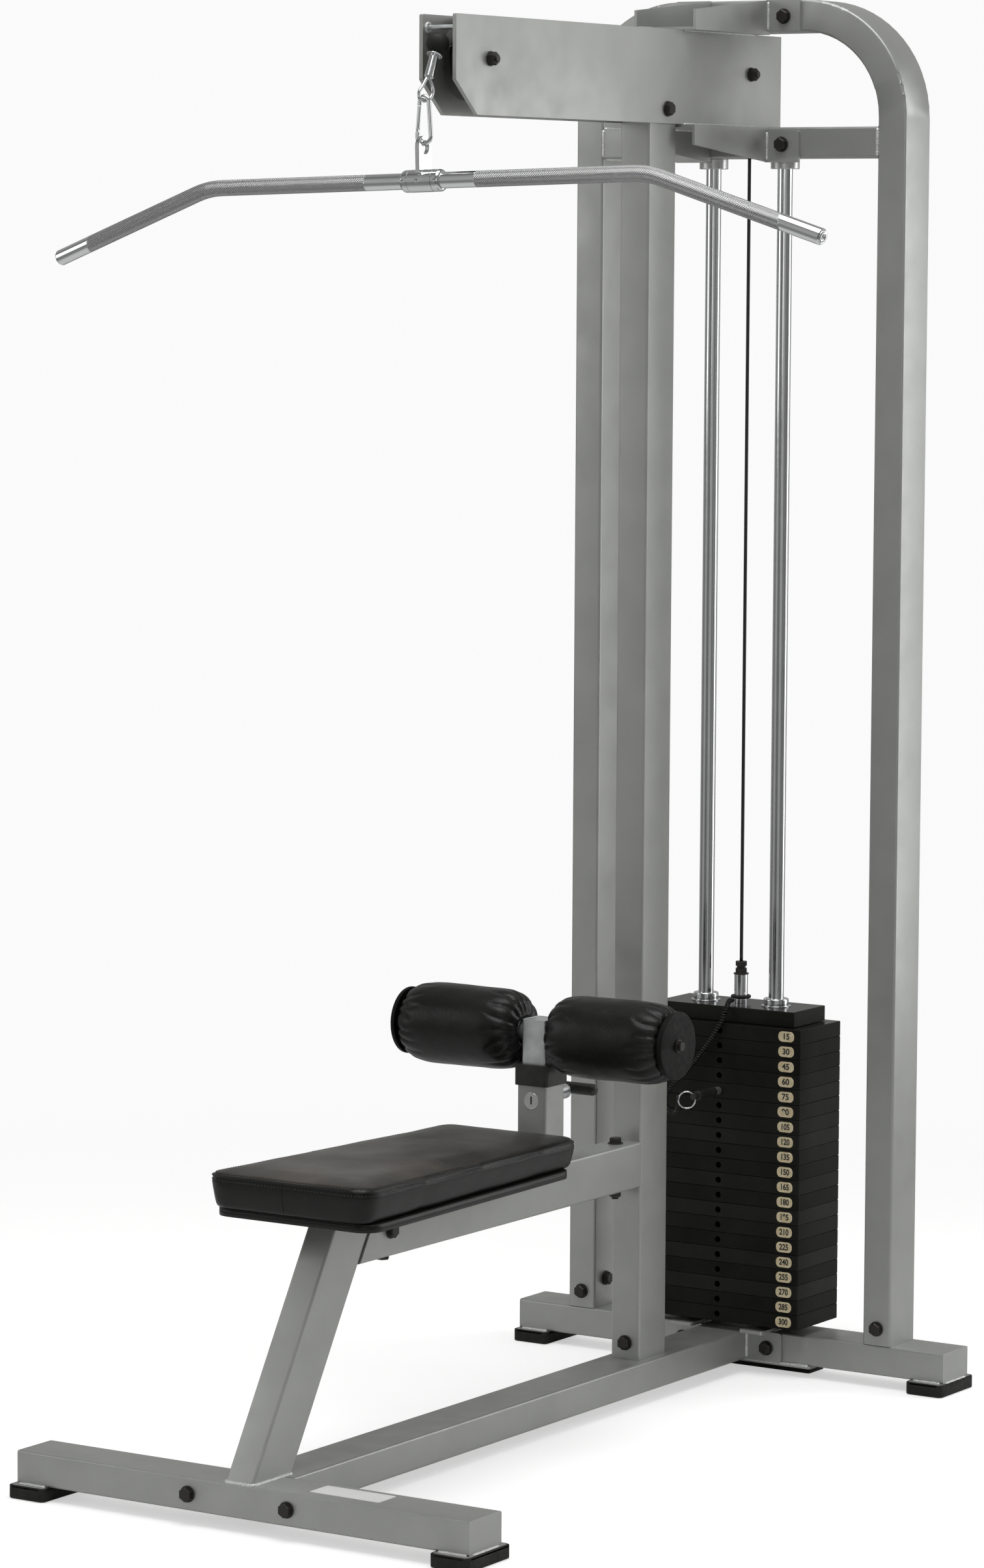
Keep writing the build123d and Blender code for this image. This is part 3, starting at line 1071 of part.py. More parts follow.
def roller(side):
    """Foam roller with drawn-in ends, free to turn on the axle tube."""
    # the sketch's second axis points up for side = 1 and down for side = -1
    x0, x1 = PAD_X0, PAD_X1
    bore, rim = side * (PAD_AXLE_R + 0.08), side * PAD_R
    with BuildPart() as foam:
        with BuildSketch(Plane(origin=(0, PAD_Y, PAD_Z), z_dir=NY, x_dir=(side, 0, 0))):
            with BuildLine():
                Line((x0, bore), (x1, bore))
                Line((x1, bore), (x1, side * 50))
                Spline((x1, side * 50), (x1 - 10, side * 61), (x1 - 38, rim),
                       tangents=((-0.15, side * 1.0), (-1, 0)))
                Line((x1 - 38, rim), (x0 + 38, rim))
                Spline((x0 + 38, rim), (x0 + 9, side * 56), (x0, side * 30),
                       tangents=((-1, 0), (-0.1, side * -1.0)))
                Line((x0, side * 30), (x0, bore))
            make_face()
        revolve(axis=Axis((0, PAD_Y, PAD_Z), X), revolution_arc=360)
    return foam.part


save(roller(1), "right_thigh_pad")
save(roller(-1), "left_thigh_pad")

# ---------------------------------------------------------------- pull pin on the post
BARREL_LENGTH = 45.0
BARREL_END = POST_Y1 + BARREL_LENGTH
PLUNGER_R = 4.0

with BuildPart() as pop_pin_barrel:
    add(ring((0, POST_Y1, POP_Z), Y, 12.0, 7.2, BARREL_LENGTH))
    add(ring((0, BARREL_END - 4, POP_Z), Y, 11.0, PLUNGER_R + 0.1, 4))
    fillet(pop_pin_barrel.faces().sort_by(Axis.Y)[-1].outer_wire().edges(), 2)
save(pop_pin_barrel.part, "pop_pin_barrel")

with BuildPart() as pop_pin_plunger:
    add(cylinder((0, 95.6, POP_Z), Y, 5.0, 9))
    chamfer(pop_pin_plunger.edges().group_by(Axis.Y)[0], 1)
    add(cylinder((0, 103.5, POP_Z), Y, 6.9, 3))
    add(cylinder((0, 105, POP_Z), Y, PLUNGER_R, BARREL_END + 8 - 105))
save(pop_pin_plunger.part, "pop_pin_plunger")

with BuildPart() as pop_pin_grip:
    add(cylinder((-12, BARREL_END + 12.0, POP_Z + 4), X, 9.7, 64))
    fillet(pop_pin_grip.edges().group_by(Axis.X)[-1], 8.5)
    fillet(pop_pin_grip.edges().group_by(Axis.X)[0], 4)
    add(cylinder((0, BARREL_END, POP_Z), Y, PLUNGER_R, 8), mode=Mode.SUBTRACT)
save(pop_pin_grip.part, "pop_pin_grip")

with BuildPart() as pop_pin_spring:
    with BuildLine() as coil:
        Helix(pitch=4.2, height=31, radius=5.6, center=(0, 108.0, POP_Z), direction=Y)
    with BuildSketch(Plane(origin=coil.line @ 0, z_dir=coil.line % 0)):
        Circle(0.7)
    sweep(path=coil.wire(), is_frenet=True)
save(pop_pin_spring.part, "pop_pin_spring")

# ---------------------------------------------------------------- fasteners of the frame
save(group(frame_bolts), "frame_bolts")
save(group(frame_nuts), "frame_nuts")
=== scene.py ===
# A lat pulldown machine: seat, thigh rollers, pull bar on a cable, and a weight stack.
# Metres. X runs across the machine and Z is up. The seat and pull bar are towards -Y
# (front), the weight stack and its hoop towards +Y (back). The floor is at Z = 0.
import bmesh
import bpy
import math
import random
from math import sin, cos, pi, radians, atan2, sqrt
from mathutils import Vector, Matrix, noise
from mathutils.bvhtree import BVHTree


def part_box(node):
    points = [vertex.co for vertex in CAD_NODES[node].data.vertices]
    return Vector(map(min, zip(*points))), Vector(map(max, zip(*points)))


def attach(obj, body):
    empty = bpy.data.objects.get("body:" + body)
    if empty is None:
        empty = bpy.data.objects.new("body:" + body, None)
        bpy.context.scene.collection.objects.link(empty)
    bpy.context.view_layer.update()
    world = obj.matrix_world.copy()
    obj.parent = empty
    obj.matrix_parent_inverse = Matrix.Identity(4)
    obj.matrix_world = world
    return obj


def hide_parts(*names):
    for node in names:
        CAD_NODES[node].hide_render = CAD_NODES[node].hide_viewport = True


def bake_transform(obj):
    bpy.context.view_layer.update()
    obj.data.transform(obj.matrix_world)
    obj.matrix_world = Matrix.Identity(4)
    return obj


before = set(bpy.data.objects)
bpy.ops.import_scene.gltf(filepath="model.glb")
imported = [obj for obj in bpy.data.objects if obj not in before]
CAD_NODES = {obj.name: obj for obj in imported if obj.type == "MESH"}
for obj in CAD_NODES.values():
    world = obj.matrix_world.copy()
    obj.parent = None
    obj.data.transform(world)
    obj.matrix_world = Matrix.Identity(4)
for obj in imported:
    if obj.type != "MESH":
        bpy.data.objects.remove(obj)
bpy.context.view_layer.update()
scene = bpy.context.scene
random.seed(11)
MM = 0.001

# ------------------------------------------------------------------ driving dimensions
# Weight stack
STACK_TOP = 0.5934          # top of the uppermost numbered plate
PLATE_PITCH = 0.0254
PLATE_COUNT = 20
LIFTED_PLATES = 5
STACK_CABLE_Y = 0.701

# Pull bar: a straight middle with a drooping length at each end
BAR_Y, BAR_Z = -0.275, 1.985
BAR_TILT = radians(1.55)    # the +X end is the higher one
BAR_SHIFT = -0.0027         # middle of the bar along X
BAR_BEND = 0.398            # middle to bend
BAR_REACH = 0.691           # middle to end
BAR_DROP = 0.101            # bend to end, downwards

# Seat cushion, wider at the front
SEAT_FRONT, SEAT_BACK = -0.638, -0.008
SEAT_HALF_FRONT, SEAT_HALF_BACK = 0.150, 0.128
SEAT_BOTTOM, SEAT_SEAM, SEAT_TOP = 0.451, 0.502, 0.5105
SEAT_CORNER = 0.032
SEAT_FALL = 0.0085          # drop of the top from front to back
SEAT_SLOPE = (SEAT_HALF_FRONT - SEAT_HALF_BACK) / (SEAT_BACK - SEAT_FRONT)

# Thigh rollers, mirrored in X
ROLLER_INNER, ROLLER_OUTER = 0.028, 0.246
ROLLER_Y, ROLLER_Z = 0.072, 0.644
ROLLER_RADIUS = 0.068
ROLLER_SEAM = -0.9          # angle of the lengthwise seam, low on the back

CABLE_RADIUS = 0.0029
DIGIT_DEPTH = 0.00012       # half the thickness of printed digits


# ------------------------------------------------------------------ shader graphs
class Graph:
    """Short ways to add and join shader nodes."""

    def __init__(self, tree):
        self.tree = tree
        tree.nodes.clear()

    def node(self, kind, **settings):
        node = self.tree.nodes.new(kind)
        for key, value in settings.items():
            setattr(node, key, value)
        return node

    def feed(self, socket, value):
        """Link a socket, or set a number or colour."""
        if isinstance(value, bpy.types.NodeSocket):
            self.tree.links.new(value, socket)
        elif socket.type == "RGBA" and len(value) == 3:
            socket.default_value = (*value, 1)
        else:
            socket.default_value = value

    def math(self, operation, *operands):
        node = self.node("ShaderNodeMath", operation=operation)
        for socket, value in zip(node.inputs, operands):
            self.feed(socket, value)
        return node.outputs[0]

    def remap(self, value, span=(0, 1), to=(0, 1), smooth=False):
        """Carry the range span over to the range to, clamped."""
        node = self.node("ShaderNodeMapRange")
        if smooth:
            node.interpolation_type = "SMOOTHSTEP"
        for key, number in zip(("From Min", "From Max", "To Min", "To Max"), (*span, *to)):
            node.inputs[key].default_value = number
        self.feed(node.inputs["Value"], value)
        return node.outputs[0]

    def axes(self, vector):
        node = self.node("ShaderNodeSeparateXYZ")
        self.feed(node.inputs[0], vector)
        return node.outputs

    def mix_shaders(self, amount, first, second):
        node = self.node("ShaderNodeMixShader")
        for socket, value in zip(node.inputs, (amount, first, second)):
            self.feed(socket, value)
        return node.outputs[0]


class Material(Graph):
    """A Principled material on object coordinates."""

    def __init__(self, name):
        self.data = bpy.data.materials.new(name)
        self.data.use_nodes = True
        super().__init__(self.data.node_tree)
        self.output = self.node("ShaderNodeOutputMaterial")
        self.shader = self.node("ShaderNodeBsdfPrincipled")
        self.feed(self.output.inputs[0], self.shader.outputs[0])
        self.position = self.node("ShaderNodeTexCoord").outputs["Object"]

    def surface(self, **values):
        """Fill Principled inputs; underscores stand for spaces."""
        for key, value in values.items():
            self.feed(self.shader.inputs[key.replace("_", " ")], value)

    def noise(self, scale, detail, stretch=None):
        coordinates = self.position
        if stretch:
            mapping = self.node("ShaderNodeMapping")
            mapping.inputs["Scale"].default_value = stretch
            self.feed(mapping.inputs[0], coordinates)
            coordinates = mapping.outputs[0]
        node = self.node("ShaderNodeTexNoise")
        node.inputs["Scale"].default_value = scale
        node.inputs["Detail"].default_value = detail
        node.inputs["Roughness"].default_value = 0.5
        self.feed(node.inputs["Vector"], coordinates)
        return node.outputs["Fac"]

    def cells(self, scale, feature="F1"):
        node = self.node("ShaderNodeTexVoronoi", feature=feature)
        node.inputs["Scale"].default_value = scale
        self.feed(node.inputs["Vector"], self.position)
        return node.outputs["Distance"]

    def mix(self, amount, first, second):
        node = self.node("ShaderNodeMix", data_type="RGBA", blend_type="MIX")
        for index, value in ((0, amount), (6, first), (7, second)):
            self.feed(node.inputs[index], value)
        return node.outputs[2]

    def patches(self, scale, detail, span=(0, 1), to=(0, 1)):
        return self.remap(self.noise(scale, detail), span=span, to=to)

    def mottle(self, dark, light, scale, detail, span=(0.3, 0.7)):
        """Two colours in noise patches."""
        return self.mix(self.patches(scale, detail, span), dark, light)

    def bump(self, height, strength, distance, normal=None):
        node = self.node("ShaderNodeBump")
        node.inputs["Strength"].default_value = strength
        node.inputs["Distance"].default_value = distance
        self.feed(node.inputs["Height"], height)
        if normal is not None:
            self.feed(node.inputs["Normal"], normal)
        return node.outputs[0]

    def normal(self):
        return self.node("ShaderNodeNewGeometry").outputs["Normal"]

    def bevel(self, radius):
        node = self.node("ShaderNodeBevel", samples=4)
        node.inputs["Radius"].default_value = radius
        return node.outputs[0]

    def edge(self, radius):
        """0 on flats, towards 1 along edges; and the bevelled normal."""
        rounded = self.bevel(radius)
        dot = self.node("ShaderNodeVectorMath", operation="DOT_PRODUCT")
        self.feed(dot.inputs[0], rounded)
        self.feed(dot.inputs[1], self.normal())
        return self.math("SUBTRACT", 1.0, dot.outputs["Value"]), rounded

    def edge_wear_and_highlight(self, colour, lighter_colour, edge, edge_span, gain, scale, patch_span, least=0):
        """Blend towards a lighter colour along edges, in patches: real wear on the black
        paints, a painted edge highlight on the powder coat.
        """
        along = self.remap(edge, span=edge_span, to=(0, gain))
        patch = self.patches(scale, detail=3, span=patch_span, to=(least, 1))
        return self.mix(self.math("MULTIPLY", along, patch), colour, lighter_colour)


def scaled(colour, factor):
    return tuple(v * factor for v in colour)


def grey(level):
    return (level, level, level)


# ------------------------------------------------------------------ materials
def powder_coat():
    """Metallic powder coat: fine flake, orange peel, slightly brighter edges in patches as a
    painted edge highlight.
    """
    m = Material("silver_powder_coat")
    base = (0.427, 0.436, 0.420)
    edge, rounded = m.edge(radius=0.0012)
    colour = m.mottle(scaled(base, 0.94), scaled(base, 1.05), scale=9, detail=3,
                      span=(0.35, 0.65))
    flake = m.remap(m.cells(scale=1400), span=(0.1, 0.7), to=(0, 0.35))
    colour = m.mix(flake, colour, scaled(base, 1.25))
    # the brighter edges are a painted highlight, standing in for light caught by the tubes'
    # rounded corners
    colour = m.edge_wear_and_highlight(colour, scaled(base, 1.35), edge, edge_span=(0.05, 0.4), gain=0.5,
                          scale=60, patch_span=(0.4, 0.7), least=0.3)
    peel = m.bump(m.noise(scale=420, detail=2), strength=0.10, distance=0.0004, normal=rounded)
    grain = m.bump(m.noise(scale=900, detail=2), strength=0.10, distance=0.0002, normal=peel)
    m.surface(Base_Color=colour, Metallic=0.62, Coat_Weight=0.12, Coat_Roughness=0.25,
              Roughness=m.patches(scale=25, detail=3, span=(0.3, 0.7), to=(0.35, 0.47)),
              Normal=grain)
    return m.data


def black_metal(name, base, rough, wear):
    m = Material(name)
    edge, rounded = m.edge(radius=0.0012)
    colour = m.mottle(scaled(base, 0.8), scaled(base, 1.4), scale=14, detail=4)
    colour = m.edge_wear_and_highlight(colour, (0.22, 0.22, 0.21), edge, edge_span=(0.08, 0.5), gain=wear,
                          scale=120, patch_span=(0.4, 0.65))
    m.surface(Base_Color=colour, Metallic=0.2,
              Roughness=m.patches(scale=40, detail=4, span=(0.3, 0.7),
                                  to=(rough - 0.08, rough + 0.1)),
              Normal=m.bump(m.noise(scale=500, detail=3), strength=0.12, distance=0.0004,
                            normal=rounded))
    return m.data


def stack_black():
    """Plate paint: smoother on top faces, its shine a little different on every plate."""
    m = Material("stack_black")
    edge, rounded = m.edge(radius=0.0015)
    upward = m.remap(m.axes(m.normal())["Z"], span=(0.6, 0.95))
    side = m.mottle((0.006, 0.0064, 0.0048), (0.011, 0.0115, 0.009), scale=18, detail=4)
    top = m.mottle((0.008, 0.008, 0.007), (0.014, 0.014, 0.013), scale=30, detail=3)
    colour = m.edge_wear_and_highlight(m.mix(upward, side, top), (0.12, 0.12, 0.11), edge,
                          edge_span=(0.1, 0.5), gain=0.6, scale=90, patch_span=(0.45, 0.7))
    below = m.math("SUBTRACT", m.axes(m.position)["Z"], STACK_TOP)
    plate = m.math("FLOOR", m.math("DIVIDE", below, PLATE_PITCH))
    per_plate = m.node("ShaderNodeTexWhiteNoise", noise_dimensions="1D")
    m.feed(per_plate.inputs["W"], plate)
    m.surface(Base_Color=colour, Metallic=0.0, Roughness=m.mix(upward, grey(0.52), grey(0.22)),
              Specular_IOR_Level=m.remap(per_plate.outputs["Value"], to=(0.12, 0.26)),
              Normal=m.bump(m.noise(scale=350, detail=3), strength=0.15, distance=0.0004,
                            normal=rounded))
    return m.data


def chrome(name, brushed=False):
    m = Material(name)
    base = (0.80, 0.81, 0.82)
    if brushed:
        relief = m.noise(scale=8, detail=3, stretch=(60, 60, 1))
    else:
        relief = m.noise(scale=200, detail=2)
    m.surface(Base_Color=m.mottle(scaled(base, 0.93), base, scale=30, detail=4), Metallic=1.0,
              Roughness=m.patches(scale=70, detail=4, span=(0.35, 0.75), to=(0.07, 0.15)),
              Normal=m.bump(relief, strength=0.04, distance=0.0003,
                            normal=m.bevel(radius=0.0008)))
    return m.data


def zinc_plate():
    m = Material("zinc_plate")
    spangle = m.remap(m.cells(scale=60), span=(0.1, 0.8))
    colour = m.mix(spangle, (0.64, 0.665, 0.675), (0.78, 0.80, 0.805))
    dull = m.patches(scale=20, detail=4, span=(0.45, 0.8), to=(0, 0.5))
    m.surface(Base_Color=m.mix(dull, colour, (0.42, 0.42, 0.40)), Metallic=0.9,
              Roughness=m.patches(scale=45, detail=4, span=(0.3, 0.7), to=(0.28, 0.45)),
              Normal=m.bump(m.noise(scale=20, detail=4, stretch=(1, 1, 22)), strength=0.12,
                            distance=0.0004, normal=m.bevel(radius=0.0008)))
    return m.data


def vinyl(name, lighter_colour=None):
    """Black upholstery vinyl with a pebbled grain; the optional colour is a browner worn colour
    on top faces.
    """
    m = Material(name)
    pebbles = m.cells(scale=750, feature="SMOOTH_F1")
    creases = m.noise(scale=260, detail=4)
    wear = m.noise(scale=11, detail=4)
    colour = m.mix(m.remap(wear, span=(0.35, 0.7)),
                   (0.0045, 0.0048, 0.0042), (0.009, 0.0093, 0.0085))
    colour = m.mix(m.remap(pebbles, span=(0, 0.7), to=(0, 0.5)), colour,
                   (0.015, 0.015, 0.0138))
    if lighter_colour:
        upward = m.remap(m.axes(m.normal())["Z"], span=(0.8, 0.99))
        frontward = m.remap(m.axes(m.position)["Y"], span=(-0.55, -0.05), to=(1, 0.35))
        rubbed = m.patches(scale=9, detail=5, span=(0.3, 0.65), to=(0.25, 1))
        amount = m.math("MULTIPLY", m.math("MULTIPLY", upward, frontward), rubbed)
        colour = m.mix(amount, colour, lighter_colour)
    rough = m.math("ADD", m.remap(wear, span=(0.3, 0.7), to=(0.27, 0.37)),
                   m.remap(creases, to=(-0.04, 0.06)))
    grain = m.bump(pebbles, strength=0.32, distance=0.0006)
    m.surface(Base_Color=colour, Roughness=rough, Specular_IOR_Level=0.30,
              Coat_Weight=0.04, Coat_Roughness=0.35,
              Normal=m.bump(creases, strength=0.22, distance=0.0008, normal=grain))
    return m.data


def rubber(name, base, rough, specular=0.5):
    m = Material(name)
    edge, rounded = m.edge(radius=0.001)
    colour = m.mottle(base, scaled(base, 1.9), scale=40, detail=4)
    # lighter along the edges: a painted edge highlight
    colour = m.mix(m.remap(edge, span=(0.08, 0.5), to=(0, 0.5)), colour, scaled(base, 4))
    m.surface(Base_Color=colour, Specular_IOR_Level=specular,
              Roughness=m.patches(scale=90, detail=3, span=(0.3, 0.7),
                                  to=(rough - 0.08, rough + 0.08)),
              Normal=m.bump(m.noise(scale=600, detail=3), strength=0.2, distance=0.0004,
                            normal=rounded))
    return m.data


def weld_metal():
    m = Material("weld_bead")
    m.surface(Base_Color=m.mottle((0.66, 0.67, 0.66), (0.92, 0.93, 0.92), scale=260, detail=4,
                                  span=(0.35, 0.65)),
              Metallic=0.4, Roughness=0.32,
              Normal=m.bump(m.noise(scale=700, detail=4), strength=0.4, distance=0.0006))
    return m.data


def label_ground():
    m = Material("label_ground")
    m.surface(Base_Color=m.mottle((0.72, 0.60, 0.37), (0.86, 0.75, 0.52), scale=120, detail=3),
              Metallic=0.3, Roughness=m.patches(scale=300, detail=3, to=(0.34, 0.5)),
              Normal=m.bump(m.noise(scale=500, detail=2), strength=0.1, distance=0.0003))
    return m.data


def label_ink():
    m = Material("label_ink")
    m.surface(Base_Color=m.mix(m.noise(scale=400, detail=3), grey(0.008), (0.03, 0.03, 0.028)),
              Roughness=0.5)
    return m.data


def sticker_paper():
    m = Material("blank_sticker")
    m.surface(Base_Color=m.mottle((0.90, 0.90, 0.89), (0.96, 0.96, 0.95), scale=50, detail=4,
                                  span=(0.3, 0.75)),
              Roughness=m.patches(scale=160, detail=3, to=(0.35, 0.5)),
              Normal=m.bump(m.noise(scale=300, detail=2), strength=0.05, distance=0.0003))
    return m.data


def light_bushing():
    m = Material("light_bushing")
    m.surface(Base_Color=m.mottle((0.66, 0.67, 0.67), (0.80, 0.80, 0.79), scale=40, detail=4),
              Metallic=0.55, Roughness=m.patches(scale=120, detail=3, to=(0.22, 0.36)),
              Normal=m.bump(m.noise(scale=300, detail=3), strength=0.06, distance=0.0003,
                            normal=m.bevel(radius=0.001)))
    return m.data


def knurled_bar():
    """Chromed bar with a fine diamond knurl on each side of its middle."""
    m = Material("bar_chrome_knurled")
    teeth = 24.0            # around the bar
    tooth_length = 0.0125   # along the bar, for the same count of radians
    x, y, z = m.axes(m.position)
    away = m.math("ABSOLUTE", m.math("ADD", x, -BAR_SHIFT))
    past_bend = m.math("MAXIMUM", m.math("SUBTRACT", away, BAR_BEND), 0.0)
    straight_z = m.math("ADD", m.math("MULTIPLY", x, math.tan(BAR_TILT)), BAR_Z)
    droop = m.math("MULTIPLY", past_bend, BAR_DROP / (BAR_REACH - BAR_BEND))
    centre_z = m.math("SUBTRACT", straight_z, droop)
    angle = m.math("ARCTAN2", m.math("SUBTRACT", z, centre_z), m.math("ADD", y, -BAR_Y))
    around = m.math("MULTIPLY", angle, teeth)
    along = m.math("MULTIPLY", x, teeth / tooth_length)
    knurl = m.math("MINIMUM", m.math("SINE", m.math("ADD", along, around)),
                   m.math("SINE", m.math("SUBTRACT", along, around)))
    # the knurl starts 0.1 m from the middle and stops at 0.626 m
    zone = m.math("MULTIPLY", m.remap(away, span=(0.099, 0.101)),
                  m.remap(away, span=(0.625, 0.627), to=(1, 0)))
    # the grooves are darker in colour: painted shade in the knurl's grooves
    groove_shade = m.math("MULTIPLY", zone, m.remap(knurl, span=(-1.0, 0.6), to=(1, 0)))
    polish = m.patches(scale=60, detail=3, to=(0.06, 0.12))
    m.surface(Base_Color=m.mix(groove_shade, (0.82, 0.83, 0.84), grey(0.36)), Metallic=1.0,
              Roughness=m.math("ADD", m.math("MULTIPLY", zone, 0.17), polish),
              Normal=m.bump(m.math("MULTIPLY", knurl, zone), strength=0.55, distance=0.0006))
    return m.data


MATERIAL = {
    "powder": powder_coat(),
    "bolt": black_metal("black_oxide", base=(0.022, 0.019, 0.017), rough=0.33, wear=0.35),
    # a spare paint that no piece wears yet
    "black": black_metal("black_paint", base=(0.016, 0.016, 0.015), rough=0.3, wear=0.5),
    "stack": stack_black(),
    "chrome": chrome("chrome"),
    "rod": chrome("chrome_rod", brushed=True),
    "zinc": zinc_plate(),
    "vinyl": vinyl("black_vinyl"),
    "seat_vinyl": vinyl("worn_seat_vinyl", lighter_colour=(0.088, 0.077, 0.064)),
    "rubber": rubber("rubber_black", base=(0.012, 0.012, 0.011), rough=0.62, specular=0.3),
    "plastic": rubber("black_nylon", base=(0.016, 0.016, 0.015), rough=0.42),
    "cable": rubber("cable_jacket", base=(0.010, 0.010, 0.010), rough=0.3),
    "coil": rubber("coil_cord", base=(0.009, 0.009, 0.009), rough=0.17),
    "disc": rubber("disc_black", base=(0.004, 0.004, 0.0037), rough=0.5, specular=0.16),
    "weld": weld_metal(),
    "label": label_ground(),
    "ink": label_ink(),
    "paper": sticker_paper(),
    "bushing": light_bushing(),
    "bar": knurled_bar(),
    "thread": rubber("stitch_thread", base=(0.055, 0.055, 0.052), rough=0.7),
}

# CAD pieces that wear each material
WEARERS = {
    "powder": "front_crosstube seat_leg base_rail rear_crosstube front_upright rear_hoop "
              "hoop_crossbar left_boom_plate right_boom_plate upper_boom_bracket "
              "lower_boom_bracket seat_beam pad_post rod_support_bars",
    "bolt": "frame_bolts frame_nuts pulley_axles stem_nuts pad_axle_bolts",
    "stack": "resting_weight_plates lifted_weight_plates head_plate",
    "chrome": "head_bushings stem_sleeve carabiner_body carabiner_gate bar_hanger "
              "bar_collars cable_end_fitting key_ring",
    "rod": "guide_rods",
    "zinc": "pop_pin_barrel keeper_rod pop_pin_spring adjust_tube pad_axle selector_stem "
            "selector_pin pop_pin_plunger",
    "rubber": "rubber_feet stack_bumpers cable_stop_ball lanyard_ring",
    "plastic": "post_collar front_pulley_wheel rear_pulley_wheel selector_pin_grip "
               "pop_pin_grip seat_board",
    "disc": "pad_end_discs",
    "cable": "cable_top_run",
    "bushing": "rod_top_collars",
    "bar": "lat_bar",
    "vinyl": "seat_cushion left_thigh_pad right_thigh_pad",
}
for key, names in WEARERS.items():
    for name in names.split():
        slots = CAD_NODES[name].data.materials
        slots.clear()
        slots.append(MATERIAL[key])


# ------------------------------------------------------------------ mesh helpers
# A solid is a pair: list of vertices, list of faces.
def new_object(name, solid, material, smooth=True):
    mesh = bpy.data.meshes.new(name)
    mesh.from_pydata([tuple(v) for v in solid[0]], [], solid[1])
    mesh.validate()
    mesh.update()
    if smooth:
        for polygon in mesh.polygons:
            polygon.use_smooth = True
    piece = bpy.data.objects.new(name, mesh)
    scene.collection.objects.link(piece)
    if material:
        mesh.materials.append(MATERIAL[material])
    return piece


def merge(solids):
    vertices, faces = [], []
    for part_vertices, part_faces in solids:
        base = len(vertices)
        vertices += [tuple(p) for p in part_vertices]
        faces += [tuple(i + base for i in face) for face in part_faces]
    return vertices, faces


def register(piece, body, replaces=None):
    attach(piece, body)
    if replaces:
        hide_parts(replaces)


def register_between(piece, replaces):
    """A piece that runs from one body to another: its place is baked in, and the CAD piece it
    replaces is hidden.
    """
    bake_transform(piece)
    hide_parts(replaces)


def bands(rings, count, closed=False):
    """Quads between neighbouring rings of count points each."""
    faces = []
    for i in range(rings if closed else rings - 1):
        j = (i + 1) % rings
        for k in range(count):
            k2 = (k + 1) % count
            faces.append((i * count + k, i * count + k2, j * count + k2, j * count + k))
    return faces


def ring_face(ring, count, reverse=False):
    face = tuple(range(ring * count, (ring + 1) * count))
    return face[::-1] if reverse else face


def capped(rings, count):
    return bands(rings, count) + [ring_face(0, count, reverse=True),
                                  ring_face(rings - 1, count)]


def capped_top_first(rings, count):
    return bands(rings, count) + [ring_face(rings - 1, count),
                                  ring_face(0, count, reverse=True)]


def sweep_frames(points, closed=False):
    """Parallel-transport frames along a polyline: points, tangents, side vectors."""
    points = [Vector(p) for p in points]
    count = len(points)
    tangents = []
    for i in range(count):
        before = points[(i - 1) % count] if (closed or i > 0) else points[i]
        after = points[(i + 1) % count] if (closed or i < count - 1) else points[i]
        tangents.append((after - before).normalized())
    up = Vector((0, 0, 1)) if abs(tangents[0].z) < 0.9 else Vector((0, 1, 0))
    side = tangents[0].cross(up).normalized()
    sides = []
    for tangent in tangents:
        side = (side - tangent * side.dot(tangent)).normalized()
        sides.append(side.copy())
    return points, tangents, sides


def tube(points, radius, segments, closed=False):
    """Sweep a circle along points; radius is a number or a function of the index."""
    points, tangents, sides = sweep_frames(points, closed)
    vertices = []
    for i, point in enumerate(points):
        other = tangents[i].cross(sides[i])
        r = radius(i) if callable(radius) else radius
        for k in range(segments):
            a = 2 * pi * k / segments
            vertices.append(point + sides[i] * (cos(a) * r) + other * (sin(a) * r))
    count = len(points)
    faces = bands(count, segments, closed=True) if closed else capped(count, segments)
    return vertices, faces


def resample(points, step):
    """Points at an even step along a polyline."""
    points = [Vector(p) for p in points]
    result, carried = [points[0].copy()], 0.0
    for a, b in zip(points, points[1:]):
        length = (b - a).length
        if length < 1e-12:
            continue
        t = step - carried
        while t <= length:
            result.append(a + (b - a) * (t / length))
            t += step
        carried = length - (t - step)
    if (result[-1] - points[-1]).length > step * 0.3:
        result.append(points[-1].copy())
    return result


def catmull(points, steps):
    """Catmull-Rom curve through the points."""
    points = [Vector(p) for p in points]
    result = []
    for i in range(len(points) - 1):
        p0 = points[max(i - 1, 0)]
        p1, p2 = points[i], points[i + 1]
        p3 = points[min(i + 2, len(points) - 1)]
        for s in range(steps):
            t = s / steps
            result.append(0.5 * ((2 * p1) + (p2 - p0) * t
                                 + (2 * p0 - 5 * p1 + 4 * p2 - p3) * t * t
                                 + (3 * p1 - p0 - 3 * p2 + p3) * t ** 3))
    result.append(points[-1])
    return result


def lathe(profile, origin, axis, segments, closed_profile):
    """Turn a profile of (distance along the axis, radius) about the axis."""
    axis = Vector(axis).normalized()
    origin = Vector(origin)
    helper = Vector((0, 0, 1)) if abs(axis.z) < 0.9 else Vector((0, 1, 0))
    u = axis.cross(helper).normalized()
    w = axis.cross(u)
    vertices = []
    for along, radius in profile:
        for k in range(segments):
            a = 2 * pi * k / segments
            vertices.append(origin + axis * along + (u * cos(a) + w * sin(a)) * radius)
    return vertices, bands(len(profile), segments, closed_profile)


def fix_normals(piece):
    bm = bmesh.new()
    bm.from_mesh(piece.data)
    bmesh.ops.recalc_face_normals(bm, faces=bm.faces)
    bm.to_mesh(piece.data)
    bm.free()


